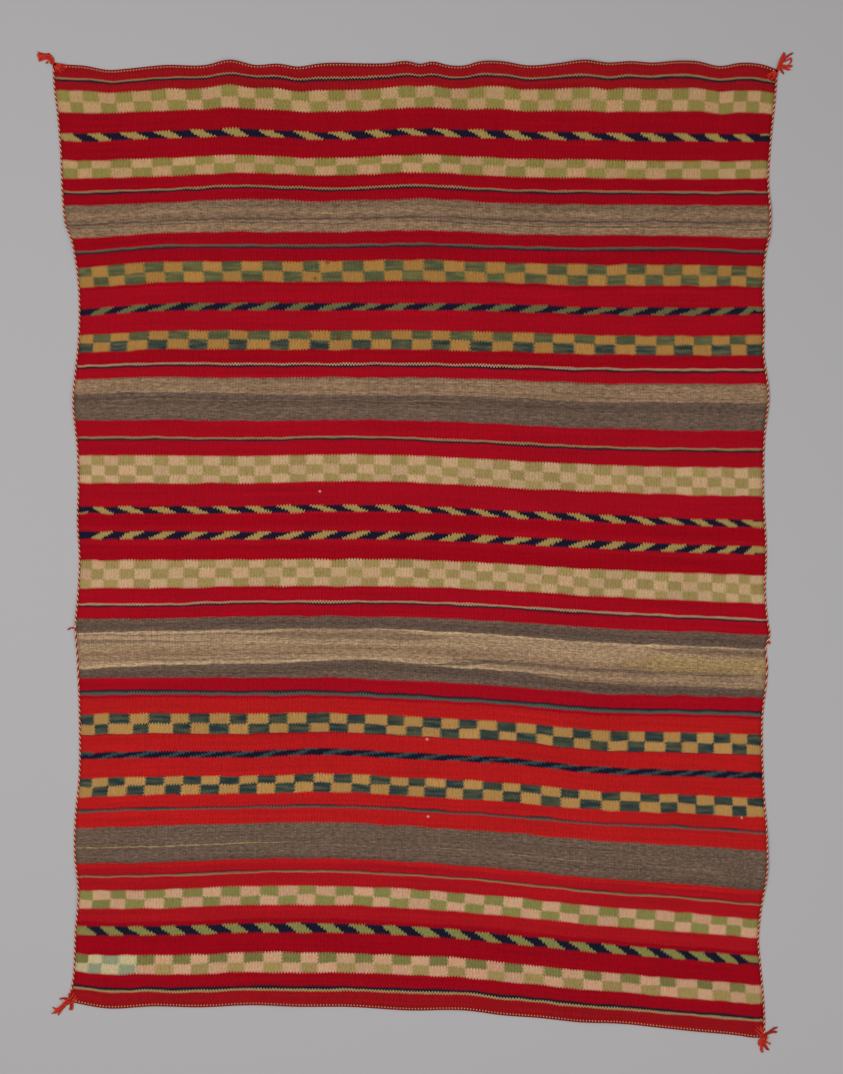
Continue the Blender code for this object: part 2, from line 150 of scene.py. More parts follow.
def weft_down(woven, across):
    """How far down the weft at a woven height lies, between the laid lines above and below it."""
    heights = [TOP_WOVEN, *(line.woven for line in LAID), BOTTOM_WOVEN]
    i = min(max(np.searchsorted(heights, woven) - 1, 0), len(heights) - 2)
    scallops = []
    for rows in (TOP_HEADING, BOTTOM_HEADING):
        even = soft_curve(LAID_ACROSS, edge_at(rows, np.array(LAID_ACROSS)), across)
        scallops.append(edge_at(rows, across) - even)
    both = []
    for n in (i, i + 1):
        if n == 0:
            both.append(edge_at(TOP_HEADING, across) + END_CORD + CORD_GAP)
        elif n == len(heights) - 1:
            both.append(edge_at(BOTTOM_HEADING, across) - END_CORD - CORD_GAP)
        else:
            from_top = math.exp((TOP_WOVEN - heights[n]) / SCALLOP_REACH)
            from_bottom = math.exp((heights[n] - BOTTOM_WOVEN) / SCALLOP_REACH)
            both.append(
                soft_curve(LAID_ACROSS, LAID[n - 1].downs, across)
                + scallops[0] * from_top + scallops[1] * from_bottom
            )
    share = (woven - heights[i]) / (heights[i + 1] - heights[i])
    return both[0] * (1 - share) + both[1] * share


def lift(across, down):
    """How far the underside stands off the surface."""
    height = np.zeros(np.broadcast(across, down).shape)
    for swell in SWELLS:
        over = np.clip((across - swell.across) / swell.half_width, -1, 1)
        along = np.clip((down - swell.down) / swell.half_length, -1, 1)
        height = height + swell.height * (1 - over**2) ** 2 * (1 - along**2) ** 2
    return height


woven_rows = []
for zone_top, zone_bottom in zip(ZONE_ENDS, ZONE_ENDS[1:]):
    steps = round((zone_bottom - zone_top) / ROW_STEP)
    woven_rows += list(np.linspace(zone_top, zone_bottom, steps, endpoint=False))
woven_rows = np.array([*woven_rows, BOTTOM_WOVEN])
over = np.linspace(0, 1, COLUMNS + 1)
across_grid = np.empty((len(woven_rows), COLUMNS + 1))
down_grid = np.empty_like(across_grid)
for row, woven in enumerate(woven_rows):
    # The edges lean, so where a row meets them is worked out over again from where it met before.
    across = FIRST_GUESS[0] + over * (FIRST_GUESS[1] - FIRST_GUESS[0])
    for _ in range(4):
        down = weft_down(woven, across)
        left = edge_at(LEFT_SELVAGE, down) + SIDE_CORD + CORD_GAP
        right = edge_at(RIGHT_SELVAGE, down) - SIDE_CORD - CORD_GAP
        across = left + over * (right - left)
    across_grid[row], down_grid[row] = across, weft_down(woven, across)
cloth_low, cloth_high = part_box("cloth")
FROM_ACROSS = cloth_low.x / MM - across_grid.min()
FROM_DOWN = cloth_high.y / MM + down_grid.min()


def place(across, down, height):
    """The tables' across and down, with a height, as points of the frame in metres."""
    parts = np.broadcast_arrays(across + FROM_ACROSS, FROM_DOWN - down, height)
    return np.stack(parts, axis=-1) * MM


def mesh_piece(name, points, faces):
    """A mesh object in the scene from arrays of points and faces."""
    mesh = bpy.data.meshes.new(name)
    mesh.vertices.add(len(points))
    mesh.vertices.foreach_set("co", np.asarray(points, np.float32).ravel())
    faces = np.asarray(faces, np.int32)
    mesh.loops.add(faces.size)
    mesh.loops.foreach_set("vertex_index", faces.ravel())
    mesh.polygons.add(len(faces))
    mesh.polygons.foreach_set("loop_start", np.arange(0, faces.size, faces.shape[1]))
    mesh.polygons.foreach_set("use_smooth", np.full(len(faces), True))
    mesh.update(calc_edges=True)
    mesh.validate()
    piece = bpy.data.objects.new(name, mesh)
    bpy.context.scene.collection.objects.link(piece)
    return piece


underside = place(across_grid, down_grid, lift(across_grid, down_grid))
upper_face = underside + np.array([0, 0, CLOTH_THICK * MM])
numbers = np.arange(across_grid.size).reshape(across_grid.shape)
corners = (numbers[:-1, :-1], numbers[1:, :-1], numbers[1:, 1:], numbers[:-1, 1:])
face_up = np.stack([c.ravel() for c in corners], axis=-1) + across_grid.size
face_down = np.stack([c.ravel() for c in corners[::-1]], axis=-1)
rim = np.concatenate([numbers[:, 0], numbers[-1, 1:], numbers[-2::-1, -1], numbers[0, -2::-1]])
rim_next = np.roll(rim[:-1], -1)
rim_faces = (rim[:-1], rim_next, rim_next + across_grid.size, rim[:-1] + across_grid.size)
rim_faces = np.stack(rim_faces, axis=-1)
cloth = mesh_piece(
    "tapestry_cloth",
    np.concatenate([underside.reshape(-1, 3), upper_face.reshape(-1, 3)]),
    np.concatenate([face_up, face_down, rim_faces]),
)
# The warps lie closer together at both selvages and a little wider apart past the middle. Each row
# says how far over a warp is, and how far its number is ahead of that, both as shares of the width.
WARPS = (
    (0, 0), (0.02, 0.008), (0.055, 0.013), (0.12, 0.011), (0.25, 0.006), (0.4, -0.003),
    (0.5, -0.008), (0.6, -0.013), (0.7, -0.018), (0.8, -0.0215), (0.9, -0.0185), (0.95, -0.012),
    (0.98, -0.004), (1, 0),
)
closeness = edge_at(WARPS, over)
warp_grid, woven_grid = np.meshgrid((over + closeness) * WARPS_WIDE, woven_rows)
woven_places = np.stack([warp_grid.ravel(), woven_grid.ravel(), np.zeros(warp_grid.size)], axis=-1)
woven_attribute = cloth.data.attributes.new("woven", "FLOAT_VECTOR", "POINT")
both_faces = np.tile(woven_places, (2, 1)).astype(np.float32)
woven_attribute.data.foreach_set("vector", both_faces.ravel())
face_woven = (woven_rows[:-1] + woven_rows[1:]) / 2
face_zone = np.repeat(np.searchsorted(ZONE_ENDS, face_woven) - 1, COLUMNS)
rim_zone = np.searchsorted(ZONE_ENDS[1:-1], woven_grid.ravel()[rim[:-1]])
cloth.data.polygons.foreach_set(
    "material_index", np.concatenate([face_zone, face_zone, rim_zone]).astype(np.int32)
)
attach(cloth, "root")
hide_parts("cloth")


# The weave. Fine weft is beaten down until it hides the warps, so the face shows narrow ribs, one
# to a warp, crossed by the weft's beads. Where two colours meet, the weft of each bites between
# the other's in teeth two warps wide.
WARP_PITCH = 2.7
WEFT_PITCH = 1.3
TOOTH_HIGH = 2.7
# How far a line of weft wanders, and the scale of that, a millimetre across and down.
LINE_WANDER = 2.1
WANDER_SCALE = (0.022, 0.05)
RIB_SHARE = 0.55
BEAD_SHARE = 0.45
LIE_SCALE = 0.12


class Value:
    """What one node gives. Plain sums on it add the nodes that work them out."""

    def __init__(self, tree, socket):
        self.tree = tree
        self.socket = socket

    def __add__(self, other):
        return reckon("ADD", self, other)

    def __sub__(self, other):
        return reckon("SUBTRACT", self, other)

    def __rsub__(self, other):
        return reckon("SUBTRACT", other, self)

    def __mul__(self, other):
        return reckon("MULTIPLY", self, other)

    def __truediv__(self, other):
        return reckon("DIVIDE", self, other)


def feed(socket, given):
    """Links a value to the socket, or sets a plain number or colour on it."""
    if isinstance(given, Value):
        given.tree.links.new(given.socket, socket)
    else:
        socket.default_value = given


def tree_of(given):
    return next(one.tree for one in given if isinstance(one, Value))


def step(kind, given, out=0, **choices):
    """One more node, in the tree of what it is given, fed socket by socket. Gives one output."""
    tree = tree_of(given.values())
    node = tree.nodes.new("ShaderNode" + kind)
    for name, choice in choices.items():
        setattr(node, name, choice)
    for socket, one in given.items():
        feed(node.inputs[socket], one)
    return Value(tree, node.outputs[out])


def reckon(operation, *given):
    return step("Math", dict(enumerate(given)), operation=operation)


def point(*places):
    return step("CombineXYZ", dict(enumerate(places)))


def at_scale(across, down, scale, third=0.0):
    """A point to take noise at, with its scale a millimetre across and down."""
    return point(across * scale[0], down * scale[1], third)


def parts_of(vector):
    return [step("SeparateXYZ", {0: vector}, out=part) for part in range(3)]


def noise(at, detail=2.0, scale=1.0):
    """Soft noise about a half, at a point. Little of it lies below 0.2 or above 0.8."""
    return step("TexNoise", {"Vector": at, "Scale": scale, "Detail": detail})


def spread(value, low, high, start=0.0, end=1.0):
    """The value's range from low to high, spread evenly over another one and held at its ends."""
    return step("MapRange", dict(enumerate((value, low, high, start, end))))


def swing(value, reach):
    """The value folded to and fro between nothing and its reach."""
    return reckon("PINGPONG", value, reach)


class Effect:
    """A shader node group with named sockets. What it takes are values under the sockets' names."""

    def __init__(self, name, takes, gives):
        self.group = bpy.data.node_groups.new(name, "ShaderNodeTree")
        for way, sockets in (("INPUT", takes), ("OUTPUT", gives)):
            for kind, names in sockets.items():
                for socket in names.split(", "):
                    self.group.interface.new_socket(
                        name=socket, in_out=way, socket_type="NodeSocket" + kind
                    )
        # The input node's last socket is an empty one.
        for socket in self.group.nodes.new("NodeGroupInput").outputs[:-1]:
            setattr(self, socket.name.lower().replace(" ", "_"), Value(self.group, socket))
        self.results = self.group.nodes.new("NodeGroupOutput").inputs

    def give(self, **results):
        for name, result in results.items():
            feed(self.results[name.replace("_", " ").capitalize()], result)


weft_lines = Effect("weft lines", {"Vector": "Woven"}, {"Float": "Across, Height, Even height"})
across, height, _ = parts_of(weft_lines.woven)
tooth = spread(
    swing(across, WARP_PITCH), WARP_PITCH * 0.3, WARP_PITCH * 0.7, -TOOTH_HIGH / 2, TOOTH_HIGH / 2
)
wander = noise(at_scale(across, height, WANDER_SCALE))
even = height + spread(wander, 0.2, 0.8, -LINE_WANDER, LINE_WANDER)
weft_lines.give(across=across, height=even + tooth, even_height=even)

weave_relief = Effect("weave relief", {"Vector": "Woven"}, {"Float": "Relief"})
across, height, _ = parts_of(weave_relief.woven)
rib = reckon("ABSOLUTE", reckon("SINE", across * (math.pi / WARP_PITCH)))
odd_warp = reckon("FLOORED_MODULO", reckon("FLOOR", across / WARP_PITCH), 2.0)
weft_turn = odd_warp * (math.pi / 2) + height * (math.pi / WEFT_PITCH)
bead = reckon("ABSOLUTE", reckon("SINE", weft_turn)) * rib * BEAD_SHARE
lie = noise(weave_relief.woven, 3.0, LIE_SCALE)
weave_relief.give(relief=rib * RIB_SHARE + (bead + lie))


# The red ground. Several dye lots of red were used up one after another, crimson in the upper half,
# then orange red below the widest brown band, and deep crimson near the bottom. Each weft takes
# the dye a little differently.
def dye(red, green, blue):
    """A wool dye as seen, from 0 to 255, in the shader's own linear light."""
    seen = np.array([red, green, blue]) / 255
    linear = np.where(seen <= 0.04045, seen / 12.92, ((seen + 0.055) / 1.055) ** 2.4)
    return (*(float(part) for part in linear), 1.0)


def ramp(at, stops, blend="LINEAR"):
    """The colours of the stops, each at its own place from 0 to 1."""
    node = at.tree.nodes.new("ShaderNodeValToRGB")
    node.color_ramp.interpolation = blend
    elements = node.color_ramp.elements
    elements.remove(elements[1])
    elements[0].color = stops[0][1]
    for stop, colour in stops[1:]:
        elements.new(stop).color = colour
    feed(node.inputs["Fac"], at)
    return Value(at.tree, node.outputs["Color"])


def mixed(share, first, second, way="MIX"):
    given = {0: share, 6: first, 7: second}
    return step("Mix", given, out=2, data_type="RGBA", blend_type=way)


def shaded(colour, tone):
    """A colour made lighter or darker by a tone about one."""
    grey = step("CombineColor", dict.fromkeys(range(3), tone))
    return mixed(1.0, colour, grey, "MULTIPLY")


BORDER_RED = dye(138, 12, 20)
CRIMSON = dye(141, 1, 18)
WARM_CRIMSON = dye(149, 4, 22)
DEEP_CRIMSON = dye(144, 0, 18)
ORANGE_RED = dye(168, 21, 22)
BRICK_RED = dye(156, 14, 23)
# The woven height where each lot begins.
DYE_LOTS = (
    (0, BORDER_RED), (97, CRIMSON), (430, WARM_CRIMSON), (515, CRIMSON), (584, WARM_CRIMSON),
    (872, DEEP_CRIMSON), (893, WARM_CRIMSON), (925, DEEP_CRIMSON), (1012, WARM_CRIMSON),
    (1225, ORANGE_RED), (1540, BRICK_RED), (1650, CRIMSON), (1693, DEEP_CRIMSON), (1701, CRIMSON),
    (1786, BORDER_RED),
)
RED_STREAK_SCALE = (0.004, 0.30)
RED_STREAK_TONES = (0.82, 1.20)
red_ground = Effect("red ground", {"Float": "Across, Height"}, {"Color": "Colour"})
lots = ramp(
    red_ground.height / BOTTOM_WOVEN,
    [(woven / BOTTOM_WOVEN, colour) for woven, colour in DYE_LOTS],
    "CONSTANT",
)
streaks = noise(at_scale(red_ground.across, red_ground.height, RED_STREAK_SCALE), 3.0)
red_ground.give(colour=shaded(lots, spread(streaks, 0.3, 0.75, *RED_STREAK_TONES)))

# Wool tone. Handspun wool takes light unevenly: soft fleece spots, faint upright rib lines, and
# slow fading over the whole sheet. Painted shade lies between the ribs of each pair of warps,
# deeper in some patches than in others.
FLEECE_SCALE = (0.24, 0.34)
RIB_LINE_SCALE = (0.26, 0.012)
RIB_LINE_TONE = 0.055
FADING_SCALE = (0.006, 0.006)
FADING_TONE = 0.04
# The patches where the painted shade between the warp ribs lies deeper, and how deep it goes.
RIB_SHADE_PATCH_SCALE = (0.04, 0.05)
RIB_SHADE_DEPTHS = (0.01, 0.075)
wool_tone = Effect(
    "wool tone", {"Color": "Colour", "Float": "Across, Height, Speckle"}, {"Color": "Colour"}
)
across, height = wool_tone.across, wool_tone.height
fleece = (noise(at_scale(across, height, FLEECE_SCALE)) - 0.5) * wool_tone.speckle
rib_lines = noise(at_scale(across, height, RIB_LINE_SCALE), 1.0)
rib_lines = spread(rib_lines, 0.25, 0.75, -RIB_LINE_TONE, RIB_LINE_TONE)
fading = noise(at_scale(across, height, FADING_SCALE, 7.0))
fading = spread(fading, 0.3, 0.7, -FADING_TONE, FADING_TONE)
# Painted shade between the ribs of each pair of warps, deeper in some patches than in others.
rib_shade_depth = spread(noise(at_scale(across, height, RIB_SHADE_PATCH_SCALE, 2.0)), 0.35, 0.65, *RIB_SHADE_DEPTHS)
warp_pair_shade = spread(swing(across, WARP_PITCH), WARP_PITCH * 0.2, WARP_PITCH * 0.8, -1.0, 1.0)
tone = fleece + rib_lines + fading + warp_pair_shade * rib_shade_depth + 1.0
wool_tone.give(colour=shaded(wool_tone.colour, tone))


# The checker bands. Two or three rows of checks woven in two colours, with the colours changing
# places from row to row. The weaver counted by eye, so no two checks are quite the same width, and
# where neighbours meet their wefts turn round in turn.
CHECK_UNEVEN = 0.13
ROW_DRIFT = 1.6
TURN_TOOTH = 1.8
TURN_HIGH = 2.9
ROW_DRIFT_SCALE = 0.016
UNEVEN_SCALE = 0.022
OWN_ROW_SCALE = (0.04, 5.3)
CHECK_STREAK_SCALE = (0.02, 0.36)
BLUSH_SCALE = (0.018, 0.06)
CHECK_TONES = (0.92, 1.08)
MINT = dye(134, 139, 110)
PALE_CREAM = dye(178, 161, 124)
NEXT_CHECK = 3.7


def between(value, low, high):
    """One where the value is from low to high, and nothing elsewhere."""
    return reckon("GREATER_THAN", value, low) * reckon("LESS_THAN", value, high)


# Gain and tilt, in checks, are how far the weaver's count had drifted half way across the band, and
# a quarter of the way from either side. A check is blushed or streaked where some other dye got in.
checks = Effect(
    "checks",
    {
        "Float": "Across, Height, Top, First break, Second break, Bottom, Count, Gain, Tilt, "
        "Starts, Row shift, Streaked, Blushed, Pale until, Seed",
        "Color": "Upper, Lower, Second, Streak, Blush",
    },
    {"Color": "Colour", "Float": "Mask"},
)
across, height, seed = checks.across, checks.height, checks.seed
row_drift = noise(point(across * ROW_DRIFT_SCALE, seed, 3.0))
drifted = height + spread(row_drift, 0.25, 0.75, -ROW_DRIFT, ROW_DRIFT)
check_row = reckon("GREATER_THAN", drifted, checks.first_break)
check_row = check_row + reckon("GREATER_THAN", drifted, checks.second_break)
turn = spread(
    swing(height, TURN_HIGH), TURN_HIGH * 0.25, TURN_HIGH * 0.75, -TURN_TOOTH, TURN_TOOTH
)
counted = (across + turn) / WARPS_WIDE
half_turn = counted * math.pi
gained = reckon("SINE", half_turn) * checks.gain
tilted = reckon("SINE", half_turn * 2.0) * checks.tilt
uneven = noise(point(across * UNEVEN_SCALE, seed), 1.0)
uneven = spread(uneven, 0.2, 0.8, -CHECK_UNEVEN, CHECK_UNEVEN)
own_row = noise(point(across * OWN_ROW_SCALE[0], check_row * OWN_ROW_SCALE[1], seed), 0.0)
own_row = spread(own_row, 0.2, 0.8, -1.0, 1.0)
counted = counted * checks.count + gained + tilted + uneven + own_row * checks.row_shift
held = reckon("MINIMUM", reckon("MAXIMUM", counted, 0.1), checks.count - 0.5)
number = reckon("FLOOR", held)
is_second = reckon("FLOORED_MODULO", number + check_row + checks.starts, 2.0)
streak_place = point(
    across * CHECK_STREAK_SCALE[0] + number * NEXT_CHECK, height * CHECK_STREAK_SCALE[1], seed
)
streak_share = spread(noise(streak_place), 0.47, 0.60) * checks.streaked
blush_place = point(across * BLUSH_SCALE[0] + number, height * BLUSH_SCALE[1], seed)
blush_share = spread(noise(blush_place, 1.0), 0.5, 0.75) * checks.blushed
is_pale = reckon("LESS_THAN", across, checks.pale_until)
is_pale = is_pale * reckon("GREATER_THAN", number + check_row, 0.5)
first = mixed(reckon("GREATER_THAN", check_row, 0.5), checks.upper, checks.lower)
first = mixed(is_pale, mixed(streak_share, first, checks.streak), MINT)
second = mixed(is_pale, mixed(blush_share, checks.second, checks.blush), PALE_CREAM)
own_tone = spread(step("TexWhiteNoise", {0: point(number, check_row, seed)}), 0, 1, *CHECK_TONES)
checks.give(
    colour=shaded(mixed(is_second, first, second), own_tone),
    mask=between(height, checks.top, checks.bottom),
)

# The diagonal lines. Narrow bands of two colours, each weft stepped a little further along than
# the last, so that they lie like the turns of a rope.
STEPS_DOWN = 5.0
FIRST_WARPS = 24.0
LAST_WARPS = 1288.0
LOOSE_SCALE = (0.02, 1.4)
diagonal = Effect(
    "diagonal line",
    {
        "Float": "Across, Height, Top, Bottom, Repeats, Slant, Share, Start, Loose, Seed",
        "Color": "First, Second",
    },
    {"Color": "Colour", "Float": "Mask"},
)
across, height, top, bottom = diagonal.across, diagonal.height, diagonal.top, diagonal.bottom
stepped = reckon("FLOOR", (height - top) / (bottom - top) * STEPS_DOWN) / STEPS_DOWN - 0.5
held_across = reckon("MINIMUM", reckon("MAXIMUM", across, FIRST_WARPS), LAST_WARPS)
along = reckon("FLOOR", held_across / WARP_PITCH) * (WARP_PITCH / WARPS_WIDE)
along = along * diagonal.repeats + stepped * diagonal.slant
loose = noise(at_scale(across, stepped, LOOSE_SCALE, diagonal.seed), 1.0)
along = along + spread(loose, 0.2, 0.8, -1.0, 1.0) * diagonal.loose + diagonal.start
is_first = reckon("LESS_THAN", reckon("FRACT", along), diagonal.share)
diagonal.give(
    colour=mixed(is_first, diagonal.second, diagonal.first), mask=between(height, top, bottom)
)

# The pin lines. Two colours of a few wefts each, one straight on the other. A colour with only one
# weft shows on every other warp, as a row of dots.
DOT_RUN_SCALE = 0.01
pin_lines = Effect(
    "pin lines",
    {"Float": "Across, Height, Top, Upper thick, Lower thick, Dotted", "Color": "Upper, Lower"},
    {"Color": "Colour", "Float": "Mask"},
)
across, height, top = pin_lines.across, pin_lines.height, pin_lines.top
middle = top + pin_lines.upper_thick
dots = reckon("GREATER_THAN", swing(across, WARP_PITCH), WARP_PITCH / 2)
dot_run = spread(noise(point(across * DOT_RUN_SCALE, top), 1.0), 0.42, 0.5)
missing = dots * dot_run * pin_lines.dotted
is_lower = reckon("GREATER_THAN", height, middle)
pin_lines.give(
    colour=mixed(is_lower, pin_lines.upper, pin_lines.lower),
    mask=between(height, top, middle + pin_lines.lower_thick) * (1.0 - missing),
)

# The brown bands. Undyed fleece, white and dark wool carded together in changing shares, so each
# band is heathered and drifts from tan to nearly black in long wedges and streaks.
WEDGE_SCALE = (0.0045, 0.07)
CARDED_SCALE = (0.11, 0.40)
CARDED_TONES = (0.62, 1.38)
WEFT_RUN_SCALE = (0.008, 0.33)
WEFT_RUN_TONES = (0.84, 1.16)
fleece_band = Effect(
    "fleece band",
    {"Float": "Across, Height, Even height, Top, Bottom, Wedge, Sag, Seed"},
    {"Float": "Place, Mask, Heather"},
)
across, even, top, bottom = (
    fleece_band.across, fleece_band.even_height, fleece_band.top, fleece_band.bottom,
)
band_place = (even - top) / (bottom - top)
wedges = noise(at_scale(across, even, WEDGE_SCALE, fleece_band.seed))
wedges = spread(wedges, 0.2, 0.8, -1.0, 1.0) * fleece_band.wedge
carded = noise(at_scale(across, even, CARDED_SCALE, fleece_band.seed))
weft_run = noise(at_scale(across, even, WEFT_RUN_SCALE, fleece_band.seed))
fleece_band.give(
    place=wedges + (band_place - band_place * fleece_band.sag),
    mask=between(fleece_band.height, top, bottom),
    heather=spread(carded, 0.3, 0.7, *CARDED_TONES) * spread(weft_run, 0.3, 0.7, *WEFT_RUN_TONES),
)

# The streaks. Single wefts of a paler or darker fleece run part of the way across a brown band,
# leaning a little, and grow thin at each end. Dotted ones show on every other pair of warps.
STREAK_TAPER = 90.0
STREAK_TIP = 20.0
STREAK_WAY_SCALE = 0.009
STREAK_WANDER = 2.2
fleece_streak = Effect(
    "fleece streak",
    {"Float": "Across, Height, Woven, Lean, Start, End, Thick, Dotted"},
    {"Float": "Mask"},
)
across = fleece_streak.across
from_start = across - fleece_streak.start
near_end = reckon("MINIMUM", from_start, fleece_streak.end - across)
wander = noise(point(across * STREAK_WAY_SCALE, fleece_streak.woven, 5.0))
wander = spread(wander, 0.25, 0.75, -STREAK_WANDER, STREAK_WANDER)
streak_height = from_start * fleece_streak.lean + wander + fleece_streak.woven
half_thick = fleece_streak.thick * 0.5 * spread(near_end, 0.0, STREAK_TAPER)
on_streak = reckon("ABSOLUTE", fleece_streak.height - streak_height) / (half_thick + 0.05)
on_streak = spread(on_streak, 0.8, 1.6, 1.0, 0.0)
picks = spread(swing(across, WARP_PITCH), WARP_PITCH * 0.35, WARP_PITCH * 0.65)
picks = 1.0 - picks * fleece_streak.dotted
fleece_streak.give(mask=on_streak * picks * spread(near_end, 0.0, STREAK_TIP))


# The cloth's five sets of bands, from the top heading down, and its surface. The other dyes are
# vegetable and indigo: creams, olives, ochre, greens, teal and a navy close to black.
CREAM = dye(177, 146, 109)
WARM_CREAM = dye(171, 137, 97)
PINK_CREAM = dye(183, 144, 112)
BLUSH = dye(192, 132, 108)
OLIVE = dye(133, 118, 62)
GREEN_OLIVE = dye(122, 118, 66)
DULL_OLIVE = dye(148, 126, 79)
OLIVE_YELLOW = dye(148, 126, 72)
OCHRE = dye(155, 113, 58)
PALE_OCHRE = dye(163, 123, 70)
GREEN = dye(68, 73, 50)
LEAF_GREEN = dye(114, 107, 62)
MOSS_GREEN = dye(94, 92, 58)
FIELD_GREEN = dye(110, 105, 60)
TEAL = dye(33, 48, 50)
TEAL_STREAK = dye(100, 98, 60)
TEAL_GREEN = dye(66, 80, 70)
SLATE = dye(48, 64, 64)
NAVY = dye(18, 18, 36)
TAN = dye(150, 123, 95)
LINE_TAN = dye(150, 126, 82)
LINE_GREEN = dye(84, 86, 66)
GREY_BROWN = dye(114, 91, 71)
PALE_BROWN = dye(132, 105, 80)
DARK_BROWN = dye(98, 79, 66)
BROWN_BLACK = dye(84, 67, 57)
PALE_FLEECE = dye(170, 142, 110)
OLIVE_FLEECE = dye(146, 120, 76)
Checks = namedtuple(
    "Checks",
    "top first_break second_break bottom count gain tilt starts row_shift upper lower second streak"
    " streaked blushed pale_until",
    defaults=(0,),
)
Diagonal = namedtuple("Diagonal", "top bottom repeats slant share start loose first second")
PinLine = namedtuple("PinLine", "top upper_thick lower_thick dotted upper lower")
Shade = namedtuple("Shade", "share colour")
Fleece = namedtuple("Fleece", "top bottom wedge sags shades streaks")
# How far the edge inside a brown band lies below its usual place, as a share of the band.
Sag = namedtuple("Sag", "across low")
EVEN = (Sag(0, 0), Sag(WARPS_WIDE, 0))
